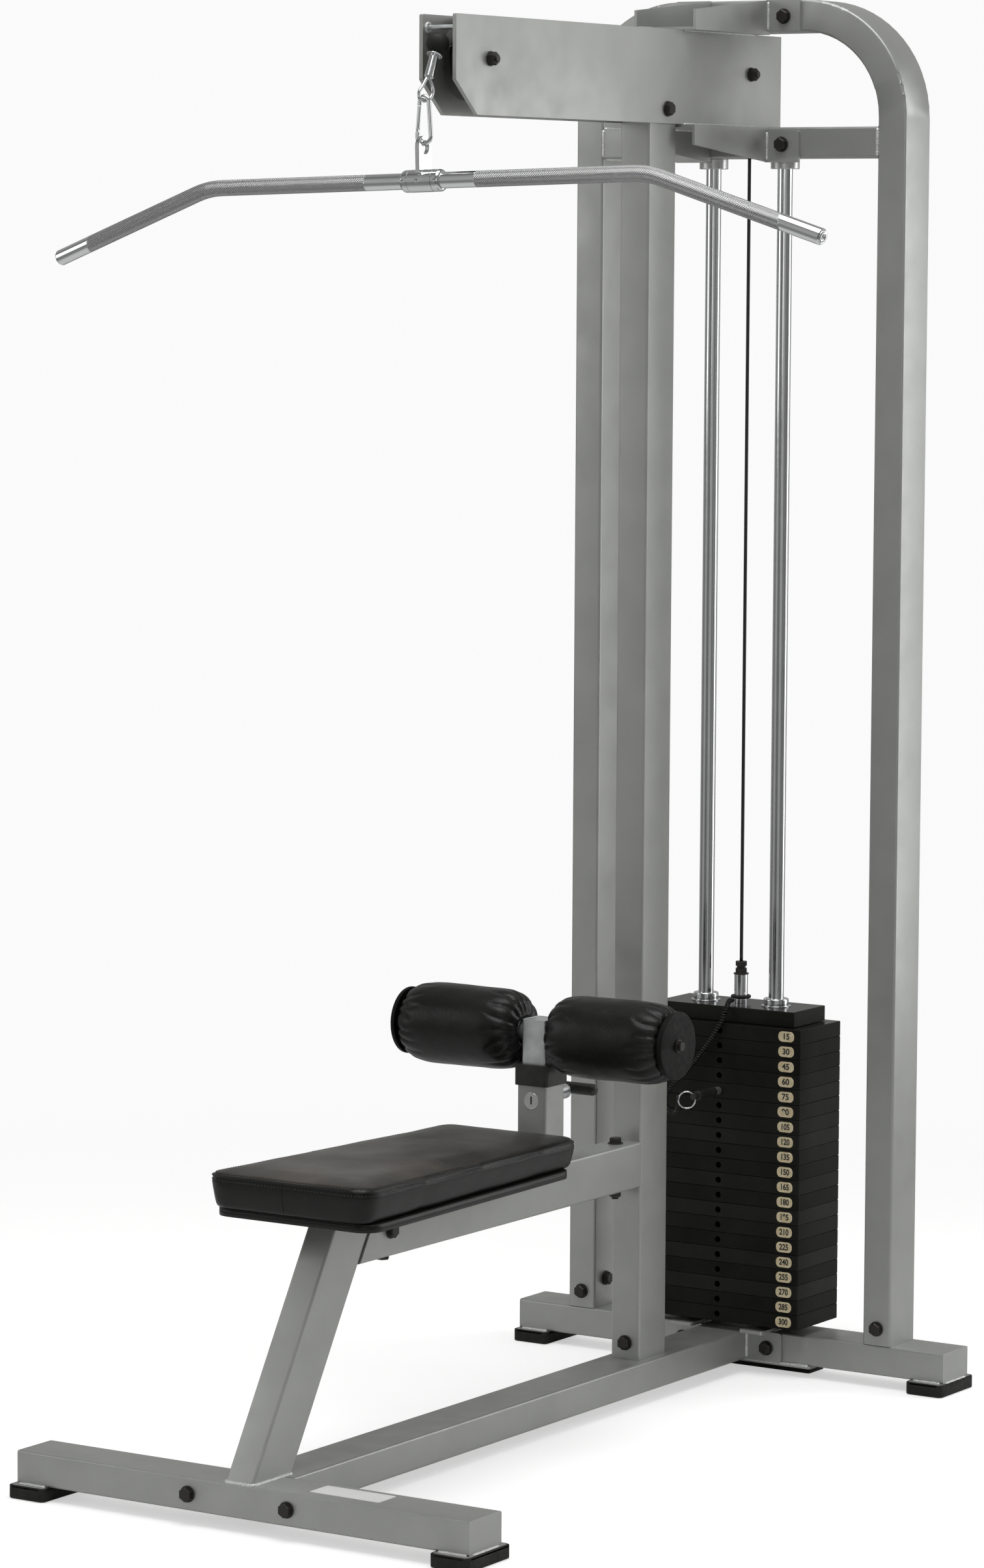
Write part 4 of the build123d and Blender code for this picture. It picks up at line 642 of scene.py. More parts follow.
def rounded_rect(half_x, half_y, radius, steps):
    """Closed outline, counter-clockwise, from the +x side."""
    x, y = half_x - radius, half_y - radius
    outline = []
    for cx, cy, start in ((x, y, 0), (-half_x + radius, y, 90),
                          (-half_x + radius, -half_y + radius, 180),
                          (x, -half_y + radius, 270)):
        for k in range(steps + 1):
            a = radians(start + 90 * k / steps)
            outline.append((cx + radius * cos(a), cy + radius * sin(a)))
    return outline


# ------------------------------------------------------------------ padded forms
CLOTH_FRAMES = 16


def bake_modifiers(piece):
    depsgraph = bpy.context.evaluated_depsgraph_get()
    mesh = bpy.data.meshes.new_from_object(piece.evaluated_get(depsgraph))
    piece.modifiers.clear()
    old = piece.data
    piece.data = mesh
    bpy.data.meshes.remove(old)


def add_cloth(piece, pressure):
    cloth = piece.modifiers.new("Cloth", "CLOTH")
    settings = cloth.settings
    settings.quality = 6
    settings.mass = 0.3
    settings.use_pressure = True
    settings.uniform_pressure_force = pressure
    settings.effector_weights.gravity = 0
    settings.tension_stiffness = 12
    settings.compression_stiffness = 12
    settings.shear_stiffness = 6
    settings.bending_stiffness = 0.6
    settings.vertex_group_mass = "pin"
    cloth.collision_settings.use_self_collision = False
    cloth.point_cache.frame_start = 1
    cloth.point_cache.frame_end = CLOTH_FRAMES


def puff(name, solid, voxel, max_travel, pressure, pin):
    """Voxel remesh, then inflate as cloth; no point moves further than max_travel."""
    piece = new_object(name, solid, None, smooth=False)
    fix_normals(piece)
    remesh = piece.modifiers.new("remesh", "REMESH")
    remesh.mode = "VOXEL"
    remesh.voxel_size = voxel
    bake_modifiers(piece)
    rest = [v.co.copy() for v in piece.data.vertices]
    group = piece.vertex_groups.new(name="pin")
    for i, place in enumerate(rest):
        weight = pin(place)
        if weight > 0:
            group.add([i], weight, "REPLACE")
    add_cloth(piece, pressure)
    for f in range(1, CLOTH_FRAMES + 1):
        scene.frame_set(f)
    evaluated = piece.evaluated_get(bpy.context.evaluated_depsgraph_get())
    moved = [v.co.copy() for v in evaluated.to_mesh().vertices]
    evaluated.to_mesh_clear()
    piece.modifiers.clear()
    scene.frame_set(1)
    for vertex, before, after in zip(piece.data.vertices, rest, moved):
        travel = after - before
        length = travel.length
        if length > max_travel:
            travel *= max_travel / length
        vertex.co = before + travel
    piece.vertex_groups.clear()
    return piece


def relax(mesh, times):
    """Move every point halfway to the mean of its neighbours."""
    neighbours = [[] for _ in mesh.vertices]
    for edge in mesh.edges:
        a, b = edge.vertices
        neighbours[a].append(b)
        neighbours[b].append(a)
    for _ in range(times):
        before = [v.co.copy() for v in mesh.vertices]
        for i, vertex in enumerate(mesh.vertices):
            if neighbours[i]:
                total = Vector((0, 0, 0))
                for j in neighbours[i]:
                    total += before[j]
                vertex.co = before[i].lerp(total / len(neighbours[i]), 0.5)


def subdivide(piece):
    modifier = piece.modifiers.new("sub", "SUBSURF")
    modifier.levels = 1
    modifier.render_levels = 1
    bake_modifiers(piece)
    for polygon in piece.data.polygons:
        polygon.use_smooth = True


# ------------------------------------------------------------------ seat cushion
SEAT_PLAN = (SEAT_HALF_FRONT, SEAT_HALF_BACK, SEAT_FRONT, SEAT_BACK)
# Levels of the cushion: height mm, inset of the outline mm. The side band leans in
# towards the board, and the top is crowned.
SEAT_LEVELS = [
    (451, 11), (455, 8), (470, 5), (485, 2), (498, 0.3), (502, 0),
    (505, 3), (507.5, 8), (509, 16), (510, 30), (510.5, 60),
]
# Wrapped lip under the cushion: height, inset; and its plan
LIP_LEVELS = [
    (0.4391, 0.003), (0.4391, 0.0008), (0.4401, -0.0004), (0.4500, -0.0004), (0.4512, 0.003),
]
LIP_PLAN = (0.1455, 0.1265, -0.6205, -0.031)
# One stitch: share of its pitch, height over the cover, thread radius
STITCH = [
    (0.14, 0.0, 0.0002), (0.32, 0.0003, 0.00045), (0.47, 0.0004, 0.0005),
    (0.62, 0.0003, 0.00045), (0.80, 0.0, 0.0002),
]


def tilt(y, z):
    """Lower a height a little towards the back, fully at the seam and above."""
    back_share = min(max((y - SEAT_FRONT) / (SEAT_BACK - SEAT_FRONT), 0.0), 1.0)
    height_share = min(max((z - SEAT_BOTTOM) / (SEAT_SEAM - SEAT_BOTTOM), 0.0), 1.0)
    return z - SEAT_FALL * back_share * height_share


def round_polygon(corners, radius, steps):
    outline = []
    for i, corner in enumerate(corners):
        corner = Vector(corner)
        before, after = Vector(corners[i - 1]), Vector(corners[(i + 1) % len(corners)])
        d1, d2 = (before - corner).normalized(), (after - corner).normalized()
        half = d1.angle(d2) / 2
        centre = corner + (d1 + d2).normalized() * (radius / sin(half))
        start = corner + d1 * (radius / math.tan(half)) - centre
        end = corner + d2 * (radius / math.tan(half)) - centre
        for k in range(steps + 1):
            v = start * (1 - k / steps) + end * (k / steps)
            outline.append(tuple(centre + v.normalized() * radius))
    return outline


def tapered_outline(inset, steps=8, corner=SEAT_CORNER, plan=SEAT_PLAN):
    """Outline that is wider at the front, drawn in by inset."""
    half_front, half_back, front, back = plan
    slope = (half_front - half_back) / (back - front)
    y0, y1 = front + inset, back - inset
    w0, w1 = (half_front - slope * (y - front) - inset * sqrt(1 + slope * slope)
              for y in (y0, y1))
    corners = [(-w0, y0), (w0, y0), (w1, y1), (-w1, y1)]
    return round_polygon(corners, max(corner - inset, 0.008), steps)


def seat_form():
    vertices = []
    for z, inset in SEAT_LEVELS:
        outline = tapered_outline(inset * MM)
        vertices += [(x, y, tilt(y, z * MM)) for x, y in outline]
    return vertices, capped(len(SEAT_LEVELS), len(outline))


def seat_half_width(y):
    return SEAT_HALF_FRONT - SEAT_SLOPE * (y - SEAT_FRONT)


def edge_distance(x, y):
    """Distance inside the seat's outline."""
    to_side = (seat_half_width(y) - abs(x)) / sqrt(1 + SEAT_SLOPE * SEAT_SLOPE)
    to_end = min(y - SEAT_FRONT, SEAT_BACK - y)
    qx, qy = SEAT_CORNER - to_side, SEAT_CORNER - to_end
    if qx > 0 and qy > 0:
        return SEAT_CORNER - sqrt(qx * qx + qy * qy)
    return min(to_side, to_end)


def seat_pin(c):
    """Hold the underside, and most of the seam."""
    if c.z < SEAT_BOTTOM + 0.006:
        return 1.0
    if abs(c.z - tilt(c.y, SEAT_SEAM)) < 0.004 and edge_distance(c.x, c.y) < 0.008:
        return 0.9
    return 0.0


def shape_seat_point(c):
    """Move one point of the cover in place: ripples, seam groove, needle line."""
    end_zone = 0.035
    seam = tilt(c.y, SEAT_SEAM)
    inside = edge_distance(c.x, c.y)
    broad = noise.noise(Vector((c.x * 9, c.y * 7, c.z * 9)))
    fine = noise.noise(Vector((c.x * 26, c.y * 22, c.z * 26 + 5)))
    if inside < 0.02 and c.z < seam - 0.001:
        # side band: shallow ripples, drawn in under the seam
        side = abs(c.x) > seat_half_width(c.y) - end_zone
        end = c.y < SEAT_FRONT + end_zone or c.y > SEAT_BACK - end_zone
        out = Vector((math.copysign(1, c.x) if side else 0,
                      math.copysign(1, c.y - (SEAT_FRONT + SEAT_BACK) / 2) if end else 0, 0))
        if out.length > 1e-6:
            out.normalize()
            groove = math.exp(-((c.z - seam + 0.004) / 0.0022) ** 2)
            c += out * (0.0012 * broad + 0.0007 * fine - 0.0010 * groove)
    if c.z > seam - 0.001 and inside > 0.002:
        c.z += 0.0012 * broad + 0.0003 * fine
        # the top's needle line just inside the edge
        c.z -= 0.0009 * math.exp(-((inside - 0.006) / 0.0015) ** 2)
    c.z = min(c.z, SEAT_TOP + 0.002)


def make_seat_cover():
    cover = puff("seat_pad_cover", seat_form(), voxel=0.006, max_travel=0.0030, pressure=3.0,
                 pin=seat_pin)
    relax(cover.data, times=2)
    subdivide(cover)
    for vertex in cover.data.vertices:
        shape_seat_point(vertex.co)
    cover.data.materials.append(MATERIAL["seat_vinyl"])
    register(cover, "frame", replaces="seat_cushion")
    return cover


def surface_finder(piece):
    """A function that drops a point onto the seat cover, lifted by an offset."""
    bm = bmesh.new()
    bm.from_mesh(piece.data)
    tree = BVHTree.FromBMesh(bm)
    bm.free()
    middle = Vector((0, (SEAT_FRONT + SEAT_BACK) / 2, 0.46))

    def onto(point, offset):
        place, normal = tree.find_nearest(point)[:2]
        if normal.dot(Vector(point) - middle) < 0:
            normal = -normal
        return place + normal * offset
    return onto


def make_seat_welt(onto):
    line = [Vector((x, y, tilt(y, SEAT_SEAM + 0.0005)))
            for x, y in tapered_outline(0.0, steps=10)]
    path = [onto(q, 0.0003) for q in resample(line + [line[0]], 0.004)[:-1]]
    welt = new_object("seat_welt", tube(path, 0.0012, 8, closed=True), "vinyl")
    register(welt, "frame")


def make_seat_stitches(onto):
    """One row on the top, one on the side band."""
    stitches = []
    for inset, rise in ((0.006, 0.006), (-0.001, -0.0050)):
        row = [Vector((x, y, tilt(y, SEAT_SEAM) + rise))
               for x, y in tapered_outline(inset, steps=10)]
        line = resample(row + [row[0]], 0.0060)
        for a, b in zip(line, line[1:]):
            path = [onto(a.lerp(b, share), height) for share, height, _ in STITCH]
            stitches.append(tube(path, lambda i: STITCH[i][2], 6))
    register(new_object("seat_stitches", merge(stitches), "thread"), "frame")


def make_seat_joins(onto):
    """Upright joins of the band at the middle of the front and of the back."""
    joins = []
    for x, y in ((-0.005, SEAT_FRONT - 0.01), (0.0, SEAT_BACK + 0.01)):
        path = [onto(Vector((x, y, 0.4535 + 0.0455 * k / 10)), 0.0001) for k in range(11)]
        joins.append(tube(path, 0.0008, 6))
    register(new_object("seat_band_joins", merge(joins), "vinyl"), "frame")


def make_seat_lip():
    vertices = []
    for z, inset in LIP_LEVELS:
        outline = tapered_outline(inset, corner=0.030, plan=LIP_PLAN)
        vertices += [(x, y, z) for x, y in outline]
    solid = (vertices, bands(len(LIP_LEVELS), len(outline)))
    register(new_object("seat_wrapped_lip", solid, "vinyl"), "frame")


onto_seat = surface_finder(make_seat_cover())
make_seat_welt(onto_seat)
make_seat_stitches(onto_seat)
make_seat_joins(onto_seat)
make_seat_lip()

# ------------------------------------------------------------------ thigh rollers
# Outline of the plain roller: distance from that end, radius
INNER_END = [
    (0, 0.0185), (0.0005, 0.034), (0.004, 0.046), (0.012, 0.056), (0.024, 0.0625),
    (0.040, 0.0650), (0.070, 0.0655),
]
OUTER_END = [
    (0.070, 0.0655), (0.040, 0.0650), (0.022, 0.0620), (0.009, 0.0565), (0.002, 0.050),
    (0.0005, 0.040), (0.0005, 0.0185),
]


def roller_profile():
    corners = [(ROLLER_INNER + d, r) for d, r in INNER_END]
    corners += [(ROLLER_OUTER - d, r) for d, r in OUTER_END]
    profile = []
    for (x0, r0), (x1, r1) in zip(corners, corners[1:]):
        steps = max(1, int(abs(x1 - x0) / 0.012))
        for k in range(steps):
            profile.append((x0 + (x1 - x0) * k / steps, r0 + (r1 - r0) * k / steps))
    profile.append(corners[-1])
    return profile


def roller_pin(c):
    """Hold the bore, and half hold both end faces."""
    if sqrt(c.y ** 2 + c.z ** 2) < 0.03:
        return 1.0
    return 0.5 if (c.x < ROLLER_INNER + 0.003 or c.x > ROLLER_OUTER - 0.004) else 0.0


def gather(x, angle, radius, seed):
    """How far the cover sinks here: pleats that fade from both drawn-in ends."""
    # distance from the end, pleat count, seed, reach of the pleats, depth
    ends = ((x - ROLLER_INNER, 17, seed, 0.060, 0.0064),
            (ROLLER_OUTER - x, 19, seed + 3.3, 0.058, 0.0056))
    sink = 0.0
    for away, pleats, end_seed, reach, depth in ends:
        if away < reach + 0.03:
            wobble = 1.5 * noise.noise(Vector((cos(angle) * 1.6 + end_seed,
                                               sin(angle) * 1.6, away * 20)))
            phase = pleats * angle + 2.6 * wobble + end_seed
            fold = abs(sin(phase * 0.5)) ** 0.55
            uneven = noise.noise(Vector((cos(angle) * 3 + end_seed * 2, sin(angle) * 3, 1.7)))
            length = reach * (0.65 + 0.55 * uneven + 0.2)
            fade = max(0.0, 1 - away / max(length, 0.012))
            sink += (depth * (1 - fold) * fade ** 0.8
                     * min(1.0, 0.25 + radius / ROLLER_RADIUS))
    return sink


def shaped_roller_point(place, seed):
    x, y, z = place
    radius = sqrt(y * y + z * z)
    if radius > 0.024:
        angle = atan2(z, y)
        sink = gather(x, angle, radius, seed)
        middle = 1 - min(1.0, abs((x - (ROLLER_INNER + ROLLER_OUTER) / 2) / 0.11)) ** 3
        lump = (0.0011 * noise.noise(Vector((x * 14 + seed, y * 20, z * 20)))
                + 0.0004 * noise.noise(Vector((x * 40, y * 50, z * 50 + seed))))
        # groove of the lengthwise seam
        off_seam = atan2(sin(angle - ROLLER_SEAM), cos(angle - ROLLER_SEAM))
        sink += 0.0016 * math.exp(-(off_seam / 0.035) ** 2) * (1 if radius > 0.05 else 0)
        k = (radius - sink + lump * (0.4 + 0.6 * middle)) / radius
        y, z = y * k, z * k
        at_inner = x < ROLLER_INNER + 0.006
        if (at_inner or x > ROLLER_OUTER - 0.006) and radius > 0.03:
            x += (1 if at_inner else -1) * sink * 0.55
    return x, y, z


def make_roller_stitches(side, label, body):
    """Stitches beside the lengthwise seam."""
    angle = ROLLER_SEAM + 0.05
    radius = ROLLER_RADIUS - 0.0022
    stitches = []
    for k in range(24):
        x = ROLLER_INNER + 0.045 + k * 0.0056
        path = [Vector((side * (x + t), ROLLER_Y + cos(angle) * radius,
                        ROLLER_Z + sin(angle) * radius)) for t in (0, 0.0012, 0.0024, 0.0036)]
        stitches.append(tube(path, 0.00045, 6))
    register(new_object(label + "_roller_stitches", merge(stitches), "thread"), body)


def make_rollers():
    profile = lathe(roller_profile(), (0, 0, 0), (1, 0, 0), 56, closed_profile=True)
    form = puff("roller_form", profile, voxel=0.0055, max_travel=0.004, pressure=4.0,
                pin=roller_pin)
    relax(form.data, times=3)
    subdivide(form)
    plain = [v.co.copy() for v in form.data.vertices]
    for side, label, seed in ((1, "right", 1.0), (-1, "left", 5.0)):
        mesh = form.data.copy()
        cover = bpy.data.objects.new(label + "_roller_cover", mesh)
        scene.collection.objects.link(cover)
        for vertex, place in zip(mesh.vertices, plain):
            x, y, z = shaped_roller_point(place, seed)
            vertex.co = Vector((side * x, ROLLER_Y + y, ROLLER_Z + z))
        if side < 0:
            mesh.flip_normals()
        mesh.materials.append(MATERIAL["vinyl"])
        body = label + "_pad"
        register(cover, body, replaces=label + "_thigh_pad")
        make_roller_stitches(side, label, body)
    bpy.data.objects.remove(form)


make_rollers()


# ------------------------------------------------------------------ cables
def hanging_cable(name, centres):
    """Cable of level rings about (y, z) centres, so that it is round where it hangs."""
    segments = 12
    vertices = []
    for y, z in centres:
        for k in range(segments):
            a = 2 * pi * k / segments
            vertices.append((CABLE_RADIUS * cos(a), y + CABLE_RADIUS * sin(a), z))
    cable = new_object(name, (vertices, capped(len(centres), segments)), "cable")
    fix_normals(cable)
    return cable


def make_rear_cable():
    rings = 90
    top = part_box("rear_cable_drop")[1].z
    nut_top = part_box("stem_nuts")[1].z
    centres = [(STACK_CABLE_Y, top - (top - nut_top + 0.004) * i / (rings - 1))
               for i in range(rings)]
    register_between(hanging_cable("rear_cable_hanging", centres),
                     replaces="rear_cable_drop")


def make_front_cable():
    """A short first stretch, then a long one leaning to the front."""
    top_y, top_z = -0.19662, 2.19115
    first_y, first_z = 0.0036, 0.0009      # run of the first stretch, forwards and down
    second_y, second_z = 0.0365, 0.0100    # run of the second stretch
    first_share = 0.1                      # of the rings
    steps = 60
    centres = []
    for i in range(steps + 1):
        t = i / steps
        if t < first_share:
            s = t / first_share
            centres.append((top_y - first_y * s, top_z - first_z * s))
        else:
            s = (t - first_share) / (1 - first_share)
            centres.append((top_y - first_y - second_y * s, top_z - first_z - second_z * s))
    register_between(hanging_cable("front_cable_hanging", centres),
                     replaces="front_cable_drop")


# ------------------------------------------------------------------ coiled lanyard
# Middle line of the coil from the stack to the pin, mm
LANYARD_PATH = [
    (1, 677, 626.8), (4, 656, 628.0), (7.5, 641.5, 620.0), (8, 630, 604), (0, 621.5, 583),
    (-12.6, 619, 562.9), (-42.9, 613, 520.1), (-65.9, 603, 492.8), (-78.2, 592, 472.1),
    (-74.7, 580, 457.4), (-60.9, 570, 447.8), (-43.4, 562, 446.1), (-33, 552, 455),
    (-29.5, 545, 464),
]


def make_lanyard():
    step, pitch, coil_radius = 0.00045, 0.0047, 0.0034
    core = resample(catmull([Vector(p) * MM for p in LANYARD_PATH], 16), step)
    points, tangents, sides = sweep_frames(core)
    coil, turn = [], 0.0
    for i, point in enumerate(points):
        other = tangents[i].cross(sides[i])
        taper = min(1.0, 0.2 + i / 30, 0.2 + (len(points) - 1 - i) / 30)
        coil.append(point + (sides[i] * cos(turn) + other * sin(turn)) * (coil_radius * taper))
        turn += 2 * pi * step / pitch
    cord = new_object("coiled_lanyard", tube(coil, 0.00115, 6), "coil")
    fix_normals(cord)
    register_between(cord,
                     replaces="pin_lanyard")


def make_lanyard_loop():
    """End loop that holds the split ring."""
    low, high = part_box("key_ring")
    hold = (low + high) / 2 + Vector((-0.0118, -0.0076, 0.0035))
    path = catmull([Vector((-0.0295, 0.545, 0.464)), Vector((-0.0285, 0.5435, 0.468)),
                    hold + Vector((-0.003, 0, 0.0025)), hold + Vector((0.0008, -0.003, 0.0012)),
                    hold + Vector((0.0, -0.0022, -0.003)),
                    Vector((-0.0285, 0.5435, 0.4655))], 8)
    loop = new_object("lanyard_end_loop", tube(path, 0.0011, 8), "cable")
    register(loop, "weight_pin")


def make_pin_spring():
    """Spring inside the pull pin's barrel, along Y. Lengths in mm."""
    radius, start_y, length, pitch, centre_z = 5.6, 108.0, 31, 4.2, 541
    steps = 210
    turns = length / pitch
    path = [Vector((radius * cos(2 * pi * turns * k / steps), start_y + length * k / steps,
                    centre_z + radius * sin(2 * pi * turns * k / steps))) * MM
            for k in range(steps + 1)]
    spring = new_object("pull_pin_spring", tube(path, 0.0007, 8), "zinc")
    fix_normals(spring)
    register_between(spring,
                     replaces="pop_pin_spring")


make_rear_cable()
make_front_cable()
make_lanyard()
make_lanyard_loop()
make_pin_spring()

# ------------------------------------------------------------------ number labels
# Rings of a badge: share of its thickness, scale of its outline
BADGE_RINGS = [(0, 1.0), (0.5, 1.0), (1, 0.955), (1, 0.90), (0.8, 0.87)]


def digits(text, size, x, y, z, width=1.0):
    """Upright text that looks towards -Y, centred at x, y, z."""
    curve = bpy.data.curves.new("t", "FONT")
    curve.body = text
    curve.size = size
    curve.align_x = "CENTER"
    curve.align_y = "CENTER"
    curve.extrude = DIGIT_DEPTH
    curve.offset = size * 0.03
    holder = bpy.data.objects.new("t", curve)
    scene.collection.objects.link(holder)
    depsgraph = bpy.context.evaluated_depsgraph_get()
    mesh = bpy.data.meshes.new_from_object(holder.evaluated_get(depsgraph))
    flat = [v.co.copy() for v in mesh.vertices]
    faces = [tuple(p.vertices) for p in mesh.polygons]
    bpy.data.objects.remove(holder)
    bpy.data.curves.remove(curve)
    bpy.data.meshes.remove(mesh)
    return [Vector((x + v.x * width, y - v.z, z + v.y)) for v in flat], faces


def badge(outline, x, y, z, thickness):
    """Thin badge on a face that looks towards -Y."""
    count = len(outline)
    vertices = []
    for share, scale in BADGE_RINGS:
        vertices += [(x + px * scale, y - thickness * share, z + pz * scale)
                     for px, pz in outline]
    rings = len(BADGE_RINGS)
    faces = [(a, d, c, b) for a, b, c, d in bands(rings, count)]
    faces += [ring_face(rings - 1, count, reverse=True), ring_face(0, count)]
    return vertices, faces


def make_plate_numbers():
    x = 0.1289
    weight_step = 15
    outline = rounded_rect(0.0150, 0.0087, 0.0075, 9)
    face_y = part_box("resting_weight_plates")[0].y
    for body, tag, plates in (("weight_stack", "lifted", range(0, LIFTED_PLATES)),
                              ("frame", "resting", range(LIFTED_PLATES, PLATE_COUNT))):
        badges, numbers = [], []
        for k in plates:
            z = STACK_TOP - (k + 1) * PLATE_PITCH + 0.0125
            badges.append(badge(outline, x, face_y, z, thickness=0.0009))
            # numbers of three digits are narrowed
            width = 1.0 if k < 6 else 0.85
            numbers.append(digits(str(weight_step * (k + 1)), 0.0137, x, face_y - 0.0008, z,
                                  width))
        plate_badges = new_object(f"number_badges_{tag}", merge(badges), "label", smooth=False)
        fix_normals(plate_badges)
        register(plate_badges, body)
        plate_digits = new_object(f"number_digits_{tag}", merge(numbers), "ink", smooth=False)
        register(plate_digits, body)


def make_position_disc():
    """Numbered disc on the pad post."""
    z, radius, count = 0.538, 0.0135, 40
    post_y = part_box("pad_post")[0].y
    circle = [(radius * cos(2 * pi * k / count), radius * sin(2 * pi * k / count))
              for k in range(count)]
    disc = new_object("position_disc", badge(circle, 0, post_y, z, thickness=0.0012),
                      "bushing", smooth=False)
    fix_normals(disc)
    register(disc, "frame")
    digit = new_object("position_digit", digits("1", 0.017, 0, post_y - 0.0011, z), "ink",
                       smooth=False)
    register(digit, "frame")


def make_sticker():
    """Blank sticker on top of the front tube."""
    x0, x1, y0, y1 = 0.112, 0.235, -0.731, -0.684
    thickness = 0.0004
    cx, cy = (x0 + x1) / 2, (y0 + y1) / 2
    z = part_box("front_crosstube")[1].z
    outline = rounded_rect((x1 - x0) / 2, (y1 - y0) / 2, 0.003, 5)
    vertices = [(cx + x, cy + y, z) for x, y in outline]
    vertices += [(cx + x * 0.998, cy + y * 0.995, z + thickness) for x, y in outline]
    solid = (vertices, capped_top_first(2, len(outline)))
    register(new_object("blank_sticker", solid, "paper", smooth=False), "frame")


make_plate_numbers()
make_position_disc()
make_sticker()


# ------------------------------------------------------------------ weld beads
def bead(points, radius, closed, seed):
    """Weld bead: a rippled half-sunk cord along the points."""
    ripple = 0.0045
    line = resample(points + ([points[0]] if closed else []), ripple / 4)
    if closed:
        line = line[:-1]

    def radius_at(i):
        phase = (i % 4) / 4.0
        uneven = noise.noise(Vector((i * 0.13, seed * 7.7, 0.3)))
        taper = 1.0 if closed else min(1.0, 0.35 + 0.3 * min(i, len(line) - 1 - i))
        return radius * (0.86 + 0.20 * abs(sin(pi * phase + 0.2)) + 0.16 * uneven) * taper
    return tube(line, radius_at, 8, closed)


def make_welds():
    """All beads; places in mm, radii in metres."""
    beads = []

    def weld(*points, radius, seed, closed=False):
        beads.append(bead([Vector(p) * MM for p in points], radius, closed, seed))

    # feet to tubes, front and back of each: x from, x to, y of the tube's front face
    for x0, x1, y in ((-405, -355, -756), (355, 405, -756), (-410, -359, 663),
                      (359, 410, 663), (-160, 160, 663)):
        weld((x0, y - 0.5, 20.6), (x1, y - 0.5, 20.6), radius=0.0030, seed=x0)
        weld((x0, y + 86.5, 20.6), (x1, y + 86.5, 20.6), radius=0.0030, seed=x1)
    # ends of the tubes
    for x, y0, y1 in ((-408, -748, -678), (408, -748, -678), (-415, 671, 741),
                      (415, 671, 741)):
        outside = x + (0.5 if x > 0 else -0.5)
        weld((outside, y0, 20.6), (outside, y1, 20.6), radius=0.0026, seed=y0)

    # leg to front tube: the cut through the leaning leg, with chamfered corners
    half, chamfer, z = 25.5, 4, 71.8
    front = -751.0
    back = front + 86 / cos(radians(31.0))
    weld((-half, front + chamfer, z), (-half, back - chamfer, z),
         (-half + chamfer, back, z), (half - chamfer, back, z),
         (half, back - chamfer, z), (half, front + chamfer, z),
         (half - chamfer, front, z), (-half + chamfer, front, z),
         radius=0.0032, closed=True, seed=3)

    # a rectangle of beads round the upright
    for s in (-1, 1):
        weld((s * 27.6, 44, 434.4), (s * 27.6, 100, 434.4), radius=0.0026, seed=s)
    for y, seed in ((43.6, 9), (100.4, 10)):
        weld((-25, y, 434.4), (25, y, 434.4), radius=0.0026, seed=seed)

    # crossbar to hoop legs
    for s in (-1, 1):
        x = s * 262.5
        for z in (2035.5, 2086.0):
            weld((x, 668, z), (x, 742, z), radius=0.0030, seed=s * 5 + z)
        for y in (663.2, 746.8):
            weld((x, y, 2038), (x, y, 2084), radius=0.0030, seed=s * 5 + y)

    # base rail to rear tube and to front tube
    for s in (-1, 1):
        x = s * 43.4
        weld((x, 656.6, 24), (x, 656.6, 69), radius=0.0028, seed=s * 11)
        weld((x, -663.6, 26), (x, -663.6, 68), radius=0.0028, seed=s * 13)

    # rod support bars on the rear tube
    for s in (-1, 1):
        x = s * 68.5
        for e in (-22.3, 22.3):
            weld((x + e, 668, 72), (x + e, 745, 72), radius=0.0022, seed=s * 17 + e)
        weld((x - 20, 662.6, 72.5), (x + 20, 662.6, 72.5), radius=0.0022, seed=s)

    # upper and lower boom brackets: k is the way up or down from the level z
    for z, k in ((2237.0, 1), (2086.0, -1)):
        for s in (-1, 1):
            weld((s * 52.8, 430, z + k * 5.4), (s * 52.8, 652, z + k * 5.4),
                 radius=0.0022, seed=s * 19 + k)
            weld((s * 58.4, 656.6, z + k * 8), (s * 58.4, 656.6, z + k * 54),
                 radius=0.0024, seed=s * 23 + k)
            weld((s * 34.0, 430, z + k * 0.4), (s * 34.0, 655, z + k * 0.4),
                 radius=0.0026, seed=s * 29 + k)

    # two thin upright beads below the upright's rectangle, further back
    for s in (-1, 1):
        weld((s * 24.0, 334.6, 366), (s * 24.0, 334.6, 428), radius=0.0010, seed=s * 31)

    # round the keeper rod inside the left boom plate
    turns = [2 * pi * k / 18 for k in range(18)]
    weld(*[(-26.4, -225 + 6.6 * cos(a), 2217 + 6.6 * sin(a)) for a in turns],
         radius=0.0024, closed=True, seed=37)

    welds = new_object("weld_beads", merge(beads), "weld")
    fix_normals(welds)
    register(welds, "frame")


# ------------------------------------------------------------------ feet and bar ends
# Rubber lips over the foot plates: x from, x to, y from, y to, mm
FOOT_LIPS = [
    (-416, -348, -771, -655), (348, 416, -771, -655),
    (-420, -351.5, 648, 764), (351.5, 420, 648, 764),
]


